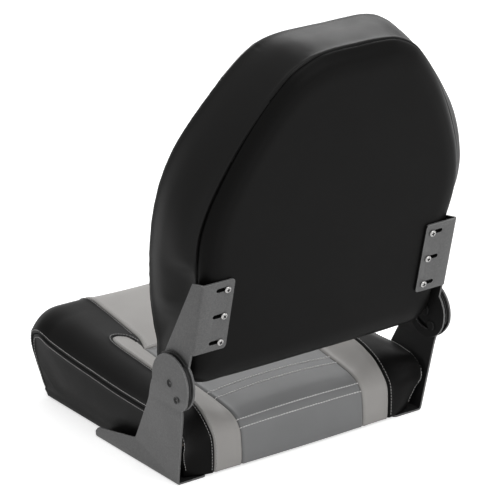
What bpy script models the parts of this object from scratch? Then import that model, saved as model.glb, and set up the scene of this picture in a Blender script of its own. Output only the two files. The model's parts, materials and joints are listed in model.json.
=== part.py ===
"""Folding boat seat: a moulded base, two padded halves with sewn covers, and steel hinges.

Metres, +Z up.  The sitter looks along -Y, so the sitter's left hand is at +X.
The origin is the middle of the base's underside, where a pedestal is bolted on.
"""

import math

import bpy
import numpy as np
from mathutils import Vector

# Sizes shared by all pieces
GAP = 0.0003
SHEET = 0.003
COVER = 0.0015
SEAM_GAP = 0.0004
OVERRUN = 0.004
SHARP_ANGLE = math.radians(32)
ROUND_SIDES = 20
SMALL_SIDES = 10
SEAM_STEPS = 6
JOGGLE_STEPS = 6
BEND_STEPS = 4
LOBE_STEPS = 10
SLOT_STEPS = 12
SLOT_END_STEPS = 6

# Seat cushion
SEAT_WIDTH = 0.418
SEAT_DEPTH = 0.417
SEAT_HEIGHT = 0.126
SEAT_BACK = 0.189
BASE_THICKNESS = 0.012
SIDE_PILLOW = 0.003
SIDE_CLEARANCE = 0.001

# Colour fields of the covers, half widths across the seat
INSERT_HALF = 0.107
STRIPE_HALF = 0.154
INSERT_SPREAD = 0.009
INSERT_LENGTH = 0.231
STRIPE_TIP = 0.269
FRONT_FIELD_HALF = 0.105

# Seat brackets
BRACKET_SETBACK = 0.009
FOOT_LENGTH = 0.201
FOOT_OVERLAP = 0.043
FOOT_SIDE_HEIGHT = 0.017
FOOT_CORNER = 0.006
KNEE_SETBACK = 0.0988
KNEE_HEIGHT = 0.0366
KNEE_RADIUS = 0.012
TIP_RADIUS = 0.007
BEND_RADIUS = 0.004
BRACKET_OFFSET = 0.0144
JOGGLE_LENGTH = 0.044
JOGGLE_BELOW_PIVOT = 0.0067
rear_slope_share = 0.186
front_slope_share = 0.524
side_lean_share = 0.057

# Hinges
PIVOT_BEHIND_CORNER = 0.0035
PIVOT_OVER_SEAT = 0.0294
DISC_RADIUS = 0.0417
PIVOT_RADIUS = 0.005
STOP_RADIUS = 0.004
STOP_REACH = 0.0252
STOP_ANGLE = math.radians(-54)
SPACER = 0.0022
SPACER_INSET = 0.0006
SPACER_CHORD = 0.008
INNER_SPACER_RADIUS = 0.019
HINGE_PLATE = 0.002
HINGE_PLATE_RADIUS = 0.040
HINGE_PLATE_CHORD = 0.013
LOBE_RADIUS = 0.0445
LOBE_START_ANGLE = math.radians(50)
LOBE_END_ANGLE = math.radians(128)
RIVET_HEAD = 0.0022
PIVOT_HEAD_RADIUS = 0.009
STOP_HEAD_RADIUS = 0.007
RIVET_PROUD = 0.0004
RIVET_DIMPLE = 0.0012
BLADE_CLEARANCE = 0.0011
LEAN_ANGLE = math.radians(12.3)
FOLD_ANGLE = math.radians(85)

# Back brackets, measured up the lean from the pivot
HINGE_SETBACK = 0.0279
PLATE_BOTTOM = 0.0573
PLATE_TOP = 0.1678
PLATE_MARGIN = 0.0115
PLATE_CORNER = 0.005
NECK_ANGLE = math.radians(123)
BLADE_TOP_REACH = 0.0223
BLADE_TOP_DROP = 0.0074
BLADE_FOOT_ANGLE = math.radians(33)
SCREW_MARGIN = 0.0132
SCREW_COUNT = 3
SCREW_INSET = 0.0391
SLOT_WIDTH = 0.0064
SLOT_LENGTH = 0.0215

# Backrest cushion, measured up the lean from the pivot
BACK_WIDTH = 0.497
BACK_HEIGHT = 0.5095
BACK_DROP = 0.0287
REAR_SEAM_DEPTH = 0.0205
FRONT_EDGE_DEPTH = 0.100
FRONT_CROWN = 0.011
BOARD_THICKNESS = 0.009
BOARD_CLEARANCE = 0.0014
BOARD_INSET = 0.030

# Fasteners
BACK_SCREW_RADIUS = 0.0025
BACK_SCREW_HEAD_RADIUS = 0.0052
BACK_SCREW_HEAD_HEIGHT = 0.0026
RECESS_WIDTH = 0.0012
RECESS_LENGTH = 0.0056
RECESS_DEPTH = 0.0013
BASE_SCREW_RADIUS = 0.002
BASE_SCREW_SKIN = 0.0025
BASE_SCREW_HEAD_RADIUS = 0.0042
BASE_SCREW_HEAD_HEIGHT = 0.0024
BASE_SCREW_INSET = 0.027
BASE_SCREW_MARGIN = 0.027
BASE_SCREW_COUNT = 3
NUT_RADIUS = 0.0040
NUT_BORE = 0.0028
NUT_FLANGE_RADIUS = 0.0078
NUT_FLANGE = 0.0012
PEDESTAL_NUT_RADIUS = 0.0042
PEDESTAL_NUT_BORE = 0.0026
PEDESTAL_NUT_FLANGE_RADIUS = 0.0095
PEDESTAL_PITCH = 0.127

# Profiles of the seat from the rear hem over the top to the front hem,
# as shares of the seat's depth (from the rear) and of its height
side_profile_shares = (
    (0.048, 0.000), (0.041, 0.098), (0.026, 0.259), (0.004, 0.427), (0.008, 0.545), (0.043, 0.632),
    (0.118, 0.672), (0.237, 0.672), (0.405, 0.688), (0.549, 0.720), (0.693, 0.751), (0.825, 0.799),
    (0.904, 0.836), (0.942, 0.771), (0.950, 0.609), (0.928, 0.371), (0.890, 0.098), (0.875, 0.000))
bolster_profile_shares = (
    (0.019, 0.000), (0.017, 0.098), (0.017, 0.276), (0.026, 0.426), (0.050, 0.523), (0.089, 0.632),
    (0.153, 0.728), (0.261, 0.799), (0.405, 0.845), (0.549, 0.887), (0.693, 0.938), (0.837, 0.986),
    (0.933, 0.998), (0.974, 0.929), (0.986, 0.720), (0.966, 0.410), (0.923, 0.098), (0.909, 0.000))
insert_profile_shares = (
    (0.017, 0.000), (0.014, 0.098), (0.017, 0.276), (0.026, 0.418), (0.046, 0.505), (0.079, 0.561),
    (0.132, 0.601), (0.249, 0.656), (0.405, 0.724), (0.554, 0.789), (0.693, 0.873), (0.837, 0.956),
    (0.938, 0.984), (0.981, 0.915), (0.993, 0.706), (0.976, 0.402), (0.938, 0.098), (0.923, 0.000))
centre_profile_shares = (
    (0.014, 0.000), (0.012, 0.098), (0.014, 0.276), (0.022, 0.435), (0.043, 0.529), (0.079, 0.592),
    (0.132, 0.641), (0.249, 0.696), (0.405, 0.757), (0.554, 0.808), (0.693, 0.877), (0.837, 0.942),
    (0.940, 0.961), (0.983, 0.896), (0.998, 0.706), (0.981, 0.402), (0.942, 0.098), (0.928, 0.000))
half_width_shares = (
    0.947, 0.959, 0.986, 1.000, 1.000, 1.000, 1.000, 1.000, 1.000, 1.000, 1.000, 1.000, 0.995, 0.981,
    0.971, 0.962, 0.947, 0.938)
column_shares = (0.0, 0.26, 0.51, 0.62, 0.74, 0.85, 0.94, 1.0)
side_row_shares = (0.0, 0.22, 0.58, 1.0)
insert_share = 0.51
front_taper_share = 0.20
stripe_tip_shares = (
    (0.02, 0.30), (0.15, 0.04), (0.40, 0.00), (0.65, 0.03), (0.86, 0.16), (0.97, 0.46), (1.00, 1.00))
bolster_share = 0.74
shoulder_power = 2.3

# Half outlines of the backrest from the middle of its lower edge to the middle of its top,
# as shares of the half width and of the height
rear_seam_shares = (
    (0.000, 0.039), (0.362, 0.039), (0.604, 0.041), (0.765, 0.047), (0.825, 0.071), (0.845, 0.112),
    (0.850, 0.200), (0.853, 0.290), (0.860, 0.380), (0.878, 0.440), (0.882, 0.510), (0.849, 0.593),
    (0.789, 0.671), (0.704, 0.758), (0.616, 0.832), (0.515, 0.901), (0.410, 0.954), (0.334, 0.975),
    (0.258, 0.989), (0.141, 0.995), (0.000, 0.995))
bulge_shares = (
    (0.000, 0.026), (0.362, 0.026), (0.610, 0.029), (0.770, 0.037), (0.838, 0.065),
    (0.852, 0.114), (0.856, 0.192), (0.862, 0.285), (0.868, 0.378), (0.930, 0.440),
    (0.942, 0.515), (0.904, 0.597), (0.840, 0.674), (0.743, 0.758), (0.644, 0.830),
    (0.532, 0.898), (0.422, 0.952), (0.350, 0.975), (0.268, 0.989), (0.145, 0.996),
    (0.000, 0.997))
middle_shares = (
    (0.000, 0.010), (0.362, 0.010), (0.620, 0.014), (0.780, 0.026), (0.840, 0.058),
    (0.854, 0.112), (0.862, 0.180), (0.930, 0.280), (0.968, 0.370), (0.986, 0.440),
    (0.990, 0.514), (0.962, 0.611), (0.899, 0.691), (0.791, 0.771), (0.674, 0.843),
    (0.549, 0.906), (0.432, 0.955), (0.366, 0.974), (0.290, 0.987), (0.150, 0.994),
    (0.000, 0.995))
front_edge_shares = (
    (0.000, 0.000), (0.362, 0.000), (0.640, 0.004), (0.790, 0.018), (0.850, 0.050),
    (0.864, 0.112), (0.895, 0.171), (0.944, 0.280), (0.967, 0.370), (0.977, 0.440),
    (0.976, 0.514), (0.950, 0.619), (0.893, 0.700), (0.798, 0.776), (0.680, 0.848),
    (0.554, 0.908), (0.440, 0.946), (0.380, 0.960), (0.300, 0.971), (0.152, 0.980),
    (0.000, 0.983))
front_depth_shares = (
    (0.00, 0.80), (0.03, 0.82), (0.11, 0.88), (0.17, 0.92), (0.29, 0.95), (0.41, 0.98), (0.52, 1.00),
    (1.00, 1.00))
bulge_depth_shares = (
    (0.00, 0.29), (0.03, 0.29), (0.07, 0.50), (0.114, 0.66), (0.192, 0.53), (0.285, 0.39), (0.378, 0.29),
    (1.00, 0.29))
rear_ring_shares = ((0.030, 0.56), (0.075, 0.87), (0.145, 1.00))
front_ring_shares = ((0.05, 0.50), (0.16, 0.88), (0.50, 1.00))
waist_share = 0.868

# Screw and rivet ends as shares of the head's radius and height
pan_head_shares = ((0.55, 1.00), (0.85, 0.75), (1.00, 0.40))
dimple_share = 0.6

# Places that follow from the sizes, measured across from the middle plane
BACK_WAIST = waist_share * BACK_WIDTH / 2
HINGE_STACK = 2 * SPACER + HINGE_PLATE + 4 * GAP + SHEET
SEAT_SIDE = SEAT_WIDTH / 2 + SIDE_PILLOW + SIDE_CLEARANCE + SHEET
HINGE_HALF = max(BACK_WAIST + BLADE_CLEARANCE + SHEET + HINGE_STACK, SEAT_SIDE + BRACKET_OFFSET)
BRACKET_HALF = HINGE_HALF - BRACKET_OFFSET
BLADE_FACE = HINGE_HALF - HINGE_STACK
INNER_SPACER_FACE = BLADE_FACE + GAP
HINGE_PLATE_FACE = INNER_SPACER_FACE + SPACER + GAP
OUTER_SPACER_FACE = HINGE_PLATE_FACE + HINGE_PLATE + GAP
FOOT_INNER = SEAT_WIDTH / 2 - FOOT_OVERLAP
SCREW_PLACE = BACK_WAIST - SCREW_INSET

# Places along and above the seat
BRACKET_CORNER = SEAT_BACK - BRACKET_SETBACK
FOOT_UNDERSIDE = -(SHEET + GAP)
PIVOT_HEIGHT = SEAT_HEIGHT + PIVOT_OVER_SEAT - FOOT_UNDERSIDE
PIVOT = Vector((0.0, BRACKET_CORNER + PIVOT_BEHIND_CORNER, SEAT_HEIGHT + PIVOT_OVER_SEAT))
JOGGLE_END = PIVOT_HEIGHT - JOGGLE_BELOW_PIVOT
JOGGLE_START = JOGGLE_END - JOGGLE_LENGTH
BASE_SCREW_PITCH = (FOOT_LENGTH - 2 * BASE_SCREW_MARGIN) / (BASE_SCREW_COUNT - 1)
BASE_SCREW_END = BASE_THICKNESS - BASE_SCREW_SKIN

# Depths and rises in the backrest
BACK_FACE = SHEET + GAP
BOARD_REAR = BACK_FACE + COVER + BOARD_CLEARANCE
BOARD_FRONT = BOARD_REAR + BOARD_THICKNESS
SCREW_PITCH = (PLATE_TOP - PLATE_BOTTOM - 2 * SCREW_MARGIN) / (SCREW_COUNT - 1)
SIDES = (("left", 1.0), ("right", -1.0))

COLOURS = {
    "black_vinyl": ((0.014, 0.014, 0.015), 0.42, 0.0),
    "light_vinyl": ((0.36, 0.35, 0.33), 0.45, 0.0),
    "mid_vinyl": ((0.16, 0.165, 0.165), 0.45, 0.0),
    "foam": ((0.62, 0.58, 0.45), 0.9, 0.0),
    "base_plastic": ((0.02, 0.02, 0.02), 0.6, 0.0),
    "plywood": ((0.42, 0.28, 0.15), 0.7, 0.0),
    "grey_steel": ((0.13, 0.13, 0.13), 0.5, 0.6),
    "dark_plastic": ((0.01, 0.01, 0.01), 0.55, 0.0),
    "bright_steel": ((0.6, 0.6, 0.59), 0.25, 1.0),
}


def material(name):
    found = bpy.data.materials.get(name)
    if found:
        return found
    colour, roughness, metallic = COLOURS[name]
    made = bpy.data.materials.new(name)
    made.use_nodes = True
    shader = made.node_tree.nodes["Principled BSDF"]
    shader.inputs["Base Color"].default_value = (*colour, 1.0)
    shader.inputs["Roughness"].default_value = roughness
    shader.inputs["Metallic"].default_value = metallic
    return made


def add_mesh(name, points, faces, finish, parent=None):
    """Make an object from world points; a parented one has its origin at the parent."""
    home = parent.location if parent else Vector()
    mesh = bpy.data.meshes.new(name)
    mesh.from_pydata([tuple(Vector(p) - home) for p in points], [], [tuple(f) for f in faces])
    mesh.materials.append(material(finish))
    mesh.shade_smooth()
    mesh.set_sharp_from_angle(angle=SHARP_ANGLE)
    made = bpy.data.objects.new(name, mesh)
    bpy.context.collection.objects.link(made)
    made.parent = parent
    return made


def cutter(name, points, faces):
    made = add_mesh(name, points, faces, "base_plastic")
    made.hide_render = True
    made.display_type = "WIRE"
    return made


def boolean(target, tool, operation="DIFFERENCE"):
    step = target.modifiers.new(tool.name, "BOOLEAN")
    step.operation = operation
    step.solver = "EXACT"
    step.object = tool


def prism(outline, low, high, place):
    """Points and faces of a closed outline swept from low to high; place(a, b, c) gives a point."""
    count = len(outline)
    points = [place(a, b, low) for a, b in outline] + [place(a, b, high) for a, b in outline]
    faces = [tuple(reversed(range(count))), tuple(range(count, 2 * count))]
    for i in range(count):
        j = (i + 1) % count
        faces.append((i, j, count + j, count + i))
    return outward(points, faces)


def outward(points, faces):
    """Turn all the faces round if the solid that they close has a negative volume."""
    volume = 0.0
    for face in faces:
        a = Vector(points[face[0]])
        for i in range(1, len(face) - 1):
            volume += a.dot(Vector(points[face[i]]).cross(Vector(points[face[i + 1]])))
    if volume < 0:
        faces = [tuple(reversed(face)) for face in faces]
    return points, faces


def turned(profile, sides, place):
    """Solid of revolution; profile is a closed list of (radius, distance along the axis)."""
    points, rings = [], []
    for radius, along in profile:
        if radius == 0:
            rings.append([len(points)] * sides)
            points.append(place(0.0, 0.0, along))
            continue
        rings.append(list(range(len(points), len(points) + sides)))
        for i in range(sides):
            angle = math.tau * i / sides
            points.append(place(radius * math.cos(angle), radius * math.sin(angle), along))
    faces = []
    for ring, following in zip(rings, rings[1:] + rings[:1]):
        for i in range(sides):
            j = (i + 1) % sides
            face = []
            for index in (ring[i], ring[j], following[j], following[i]):
                if index not in face:
                    face.append(index)
            if len(face) > 2:
                faces.append(tuple(face))
    return outward(points, faces)


def arc(centre, radius, start, end, steps):
    return [(centre[0] + radius * math.cos(start + (end - start) * i / steps),
             centre[1] + radius * math.sin(start + (end - start) * i / steps))
            for i in range(steps + 1)]


def rounded(corners, steps=4):
    """Round the corners of a polygon; corners is a list of (a, b, radius)."""
    outline = []
    for i, (a, b, radius) in enumerate(corners):
        here = Vector((a, b))
        if radius == 0:
            outline.append((a, b))
            continue
        before = Vector(corners[i - 1][:2]) - here
        after = Vector(corners[(i + 1) % len(corners)][:2]) - here
        half = before.angle(after) / 2
        reach = radius / math.tan(half)
        start = here + before.normalized() * reach
        end = here + after.normalized() * reach
        centre = here + (before.normalized() + after.normalized()).normalized() * radius / math.sin(half)
        first = math.atan2(*(start - centre).yx)
        sweep = math.atan2(*(end - centre).yx) - first
        sweep = (sweep + math.pi) % math.tau - math.pi
        outline += arc(centre, radius, first, first + sweep, steps)
    return outline


def grown(outline, distance):
    """Move a closed outline's points outward along their bisectors."""
    area = sum(a[0] * b[1] - b[0] * a[1] for a, b in zip(outline, outline[1:] + outline[:1]))
    turn = 1.0 if area > 0 else -1.0
    result = []
    for i, (a, b) in enumerate(outline):
        before = (Vector((a, b)) - Vector(outline[i - 1])).normalized()
        after = (Vector(outline[(i + 1) % len(outline)]) - Vector((a, b))).normalized()
        normal = Vector((before.y + after.y, -before.x - after.x)) * turn
        normal.normalize()
        lean = max(normal.dot(Vector((before.y, -before.x)) * turn), 0.5)
        result.append((a + normal.x * distance / lean, b + normal.y * distance / lean))
    return result


def as_built(a, b, c):
    return (a, b, c)


def leaning(x, depth, rise):
    """Point of the backrest: depth forward from the brackets' rear face, rise from the pivot."""
    reach = depth - HINGE_SETBACK
    y = PIVOT.y - reach * math.cos(LEAN_ANGLE) + rise * math.sin(LEAN_ANGLE)
    z = PIVOT.z + reach * math.sin(LEAN_ANGLE) + rise * math.cos(LEAN_ANGLE)
    return (x, y, z)


class Skin:
    """Closed or open surface of triangles with an even inward offset at each point."""

    def __init__(self, points, faces):
        self.points = np.array(points, dtype=float)
        self.faces = faces
        self.normals = [self.normal(face) for face in faces]
        self.inward = self.offsets()

    def normal(self, face):
        a, b, c = (self.points[i] for i in face)
        n = np.cross(b - a, c - a)
        return n / np.linalg.norm(n)

    def offsets(self):
        around = [[] for _ in self.points]
        for face, normal in zip(self.faces, self.normals):
            for i in face:
                around[i].append(normal)
        result = np.zeros_like(self.points)
        for i, normals in enumerate(around):
            rows = np.array(normals)
            result[i] = np.linalg.lstsq(rows, -np.ones(len(rows)), rcond=0.15)[0]
        return result

    def inner(self, distance):
        return self.points + self.inward * distance


def panel(name, skin, chosen, finish, parent=None):
    """Cover panel of even thickness made of the chosen faces, drawn back a little at its edges."""
    edges = {}
    for number in chosen:
        face = skin.faces[number]
        for k in range(3):
            edges[(face[k], face[(k + 1) % 3])] = number
    rim = {edge: number for edge, number in edges.items() if edge[::-1] not in edges}
    rows = {}
    for (start, end), number in rim.items():
        along = skin.points[end] - skin.points[start]
        aside = np.cross(skin.normals[number], along / np.linalg.norm(along))
        for i in (start, end):
            rows.setdefault(i, []).append((aside, skin.normals[number]))
    used = sorted({i for number in chosen for i in skin.faces[number]})
    index = {old: new for new, old in enumerate(used)}
    inner = skin.inner(COVER)
    points = []
    for layer in (skin.points, inner):
        for old in used:
            shift = np.zeros(3)
            if old in rows:
                system = [row for pair in rows[old] for row in pair]
                wanted = [SEAM_GAP / 2, 0.0] * len(rows[old])
                shift = np.linalg.lstsq(np.array(system), np.array(wanted), rcond=0.15)[0]
            points.append(layer[old] + shift)
    count = len(used)
    faces = []
    for number in chosen:
        a, b, c = (index[i] for i in skin.faces[number])
        faces.append((a, b, c))
        faces.append((count + c, count + b, count + a))
    for start, end in rim:
        a, b = index[start], index[end]
        faces.append((b, a, count + a, count + b))
    return add_mesh(name, points, faces, finish, parent)


def split_quad(a, b, c, d):
    return [(a, b, c), (a, c, d)]


def smooth_step(share):
    return share * share * (3 - 2 * share)


def seat_section(station, share):
    """Depth and height shares at a station along the profile, share of the half width from the middle."""
    centre = np.array(centre_profile_shares[station])
    inner = np.array(insert_profile_shares[station])
    bolster = np.array(bolster_profile_shares[station])
    side = np.array(side_profile_shares[station])
    if share <= insert_share:
        return centre + (inner - centre) * (share / insert_share) ** 2
    if share <= bolster_share:
        swing = smooth_step((share - insert_share) / (bolster_share - insert_share))
        return inner + (bolster - inner) * swing
    return bolster + (side - bolster) * ((share - bolster_share) / (1 - bolster_share)) ** shoulder_power


def seat_skin():
    """Skin of the seat cushion; returns it with the faces of the wrap and of both sides."""
    stations = len(side_profile_shares)
    columns = [-share for share in column_shares[:0:-1]] + list(column_shares)
    points, grid = [], {}
    for i, share in enumerate(columns):
        for j in range(stations):
            depth, height = seat_section(j, abs(share))
            x = share * half_width_shares[j] * SEAT_WIDTH / 2
            z = height * SEAT_HEIGHT
            if j in (1, stations - 2):
                z = BASE_THICKNESS + GAP
            grid[i, j] = len(points)
            points.append((x, SEAT_BACK - depth * SEAT_DEPTH, z))
    wrap = []
    for i in range(len(columns) - 1):
        for j in range(stations - 1):
            wrap += split_quad(grid[i, j], grid[i, j + 1], grid[i + 1, j + 1], grid[i + 1, j])
    sides = {}
    for name, i in (("left", len(columns) - 1), ("right", 0)):
        seam = [grid[i, j] for j in range(1, stations - 1)]
        rows = side_rows(points, seam)
        hem = side_hem(points, grid[i, 0], grid[i, stations - 1], len(seam))
        faces = []
        for upper, lower in zip(rows, rows[1:] + [hem]):
            for k in range(len(upper) - 1):
                faces += fan((upper[k], upper[k + 1], lower[k + 1], lower[k]))
        if name == "right":
            faces = [face[::-1] for face in faces]
        sides[name] = (faces, rows[-1], hem)
    all_faces = wrap + sides["left"][0] + sides["right"][0]
    skin = Skin(points, all_faces)
    first, second = len(wrap), len(wrap) + len(sides["left"][0])
    groups = {"wrap": range(first), "left": range(first, second), "right": range(second, len(all_faces))}
    loops = {"hem": seat_loop(grid, sides, len(columns), 0, stations - 1, 2),
             "ledge": seat_loop(grid, sides, len(columns), 1, stations - 2, 1)}
    return skin, groups, loops


def side_rows(points, seam):
    """Rows of points down a side of the cushion, from its seam to the straight line over the base."""
    count = len(seam)
    rear, front = np.array(points[seam[0]]), np.array(points[seam[-1]])
    rows = [seam]
    for share in side_row_shares[1:]:
        row = [seam[0]]
        for k in range(1, count - 1):
            above = np.array(points[seam[k]])
            foot = rear + (front - rear) * k / (count - 1)
            place = above + (foot - above) * share
            place[0] += math.copysign(SIDE_PILLOW, above[0]) * 4 * share * (1 - share)
            row.append(len(points))
            points.append(tuple(place))
        rows.append(row + [seam[-1]])
    return rows


def side_hem(points, rear, front, count):
    """Row of points along the lower edge of a side, from its rear corner to its front corner."""
    low, high = np.array(points[rear]), np.array(points[front])
    hem = [rear]
    for k in range(1, count - 1):
        share = k / (count - 1)
        hem.append(len(points))
        points.append(tuple(low * (1 - share) + high * share))
    return hem + [front]


def fan(quad):
    """Triangles of a quad whose neighbouring corners may be the same point."""
    a, b, c, d = quad
    return [face for face in split_quad(a, b, c, d) if len(set(face)) == 3]


def seat_loop(grid, sides, columns, rear, front, row):
    """Loop of points round the cushion at the hem or at the ledge over the base."""
    loop = [grid[i, rear] for i in range(columns)]
    loop += sides["left"][row][1:-1]
    loop += [grid[i, front] for i in reversed(range(columns))]
    loop += sides["right"][row][1:-1][::-1]
    return loop


def colour_edge(y):
    """Half width of the insert and of the front field at a place along the seat."""
    distance = SEAT_BACK - y
    wide = INSERT_HALF + INSERT_SPREAD
    if distance <= INSERT_LENGTH:
        return INSERT_HALF + (wide - INSERT_HALF) * max(0.0, distance / INSERT_LENGTH) ** 2
    share = min(1.0, (distance - INSERT_LENGTH) / (SEAT_DEPTH - INSERT_LENGTH) / front_taper_share)
    return wide + (FRONT_FIELD_HALF - wide) * math.sin(share * math.pi / 2)


def colour_fields():
    """Plan outlines of the insert, the front field and the left stripe, with the seam gaps between."""
    rear, front = SEAT_BACK + OVERRUN, SEAT_BACK - SEAT_DEPTH - OVERRUN
    parting = SEAT_BACK - INSERT_LENGTH
    tip = SEAT_BACK - STRIPE_TIP
    stops = [i / SEAM_STEPS for i in range(SEAM_STEPS + 1)]
    behind = [rear + (parting - rear) * share for share in stops]
    ahead = [parting + (front - parting) * share for share in stops]
    insert = [(colour_edge(y), y) for y in behind]
    insert = insert + [(-x, y) for x, y in reversed(insert)]
    field = [(colour_edge(y), y) for y in ahead]
    field[0] = (field[0][0], parting - SEAM_GAP)
    field = field + [(-x, y) for x, y in reversed(field)]
    inner = [(colour_edge(y) + SEAM_GAP, y) for y in behind]
    start = inner[-1][0]
    width = STRIPE_HALF - start
    stripe = inner + [(start + width * a, tip + width * b) for a, b in stripe_tip_shares]
    stripe.append((STRIPE_HALF, rear))
    middle = [(colour_edge(y), y) for y in behind + ahead[1:]]
    return insert, field, stripe, middle


def mirrored(outline):
    return [(-x, y) for x, y in reversed(outline)]


def make_seat():
    skin, groups, loops = seat_skin()
    low, high = -OVERRUN, SEAT_HEIGHT + OVERRUN
    insert, field, stripe, middle = colour_fields()
    rear, front = SEAT_BACK + 2 * OVERRUN, SEAT_BACK - SEAT_DEPTH - 2 * OVERRUN
    wide = SEAT_WIDTH / 2 + OVERRUN
    for name, finish, outline in (("insert", "mid_vinyl", insert), ("front", "light_vinyl", field)):
        made = panel("seat_cover_" + name, skin, groups["wrap"], finish)
        boolean(made, cutter(name + "_field", *prism(outline, low, high, as_built)), "INTERSECT")
    for side, sign in SIDES:
        shape = stripe if sign > 0 else mirrored(stripe)
        made = panel("seat_cover_stripe_" + side, skin, groups["wrap"], "light_vinyl")
        boolean(made, cutter("stripe_field_" + side, *prism(shape, low, high, as_built)), "INTERSECT")
        made = panel("seat_cover_bolster_" + side, skin, groups["wrap"], "black_vinyl")
        edge = [(sign * (x + SEAM_GAP), y) for x, y in middle]
        edge[0] = (edge[0][0], rear)
        edge[-1] = (edge[-1][0], front)
        shape_half = edge + [(sign * wide, front), (sign * wide, rear)]
        boolean(made, cutter("half_field_" + side, *prism(shape_half, low, high, as_built)), "INTERSECT")
        tool = prism(grown(shape, SEAM_GAP), low - OVERRUN, high + OVERRUN, as_built)
        boolean(made, cutter("stripe_cut_" + side, *tool))
        panel("seat_cover_side_" + side, skin, groups[side], "black_vinyl")
    make_seat_foam(skin, loops)
    make_base(skin, loops)


def make_seat_foam(skin, loops):
    inner = skin.inner(COVER + GAP)
    ledge = loops["ledge"]
    hem = set(loops["hem"])
    faces = [face for face in skin.faces if not hem.intersection(face)]
    used = sorted({i for face in faces for i in face})
    index = {old: new for new, old in enumerate(used)}
    points = [tuple(inner[old]) for old in used]
    for old, low in zip(ledge, loops["hem"]):
        points[index[old]] = at_height(inner[low], inner[old], BASE_THICKNESS + GAP)
    faces = [tuple(index[i] for i in face) for face in faces]
    faces.append(tuple(index[i] for i in ledge))
    add_mesh("seat_foam", *outward(points, faces), "foam")


def at_height(low, high, z):
    """Point at height z on the line through low and high."""
    return tuple(low + (high - low) * (z - low[2]) / (high[2] - low[2]))


def make_base(skin, loops):
    inner = skin.inner(COVER + GAP)
    count = len(loops["hem"])
    pairs = list(zip(loops["hem"], loops["ledge"]))
    points = [at_height(inner[low], inner[high], 0.0) for low, high in pairs]
    points += [at_height(inner[low], inner[high], BASE_THICKNESS) for low, high in pairs]
    index = {old: new for new, old in enumerate(loops["hem"] + loops["ledge"])}
    faces = [tuple(index[i] for i in face) for face in skin.faces if index.keys() >= set(face)]
    faces += [tuple(range(count)), tuple(reversed(range(count, 2 * count)))]
    base = add_mesh("seat_base", *outward(points, faces), "base_plastic")
    for number, (x, y) in enumerate(pedestal_places(), start=1):
        place = shifted(x, y, 0.0)
        bore, pocket = PEDESTAL_NUT_RADIUS + GAP, PEDESTAL_NUT_FLANGE_RADIUS + GAP
        hole = t_nut_hole_profile(bore, pocket, BASE_THICKNESS)
        boolean(base, cutter(f"pedestal_hole_{number}", *turned(hole, SMALL_SIDES, place)))
        nut = t_nut_profile(PEDESTAL_NUT_RADIUS, PEDESTAL_NUT_BORE, PEDESTAL_NUT_FLANGE_RADIUS, 0.0,
                            BASE_THICKNESS)
        add_mesh(f"pedestal_t_nut_{number}", *turned(nut, SMALL_SIDES, place), "bright_steel")
    for side, number, x, y in base_screw_places():
        bore = BASE_SCREW_RADIUS + GAP
        hole = [(0, -OVERRUN), (bore, -OVERRUN), (bore, BASE_SCREW_END), (0, BASE_SCREW_END)]
        tool = turned(hole, SMALL_SIDES, shifted(x, y, 0.0))
        boolean(base, cutter(f"base_hole_{side}_{number}", *tool))


def t_nut_hole_profile(bore, pocket, high):
    """Hole from the face at height 0 up to a wider pocket for the nut's flange below the face at high."""
    ledge = high - NUT_FLANGE - GAP
    return [(0, -OVERRUN), (bore, -OVERRUN), (bore, ledge), (pocket, ledge), (pocket, high + OVERRUN),
            (0, high + OVERRUN)]


def t_nut_profile(radius, bore, flange_radius, low, high):
    return [(bore, low), (radius, low), (radius, high - NUT_FLANGE), (flange_radius, high - NUT_FLANGE),
            (flange_radius, high), (bore, high)]


def shifted(x, y, z):
    return lambda a, b, c: (x + a, y + b, z + c)


def pedestal_places():
    half = PEDESTAL_PITCH / 2
    return [(half, half), (-half, half), (-half, -half), (half, -half)]


def base_screw_places():
    places = []
    for side, sign in SIDES:
        for number in range(BASE_SCREW_COUNT):
            y = BRACKET_CORNER - BASE_SCREW_MARGIN - number * BASE_SCREW_PITCH
            places.append((side, number + 1, sign * (SEAT_WIDTH / 2 - BASE_SCREW_INSET), y))
    return places


def seat_bracket_profile():
    """Cross-section in X and height above the foot's underside: foot, bend, leaning side, joggle."""
    side = [(BRACKET_HALF + side_lean_share * h, h) for h in (BEND_RADIUS, JOGGLE_START)]
    low, high = side[-1][0], HINGE_HALF
    for i in range(1, JOGGLE_STEPS + 1):
        share = i / JOGGLE_STEPS
        height = JOGGLE_START + (JOGGLE_END - JOGGLE_START) * share
        lean = side_lean_share * (JOGGLE_END - JOGGLE_START) * share * (1 - share) ** 2
        side.append((low + (high - low) * smooth_step(share) + lean, height))
    side.append((high, PIVOT_HEIGHT + DISC_RADIUS + OVERRUN))
    centre = (BRACKET_HALF - BEND_RADIUS, BEND_RADIUS)
    bend = arc(centre, BEND_RADIUS, -math.pi / 2, 0.0, BEND_STEPS)[:-1]
    foot = [(FOOT_INNER - OVERRUN, 0.0)]
    outer = foot + bend + side
    inner = []
    for i, (x, h) in enumerate(outer):
        before = Vector(outer[max(i - 1, 0)])
        after = Vector(outer[min(i + 1, len(outer) - 1)])
        along = (after - before).normalized()
        inner.append((x - along.y * SHEET, h + along.x * SHEET))
    return outer + inner[::-1]


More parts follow.
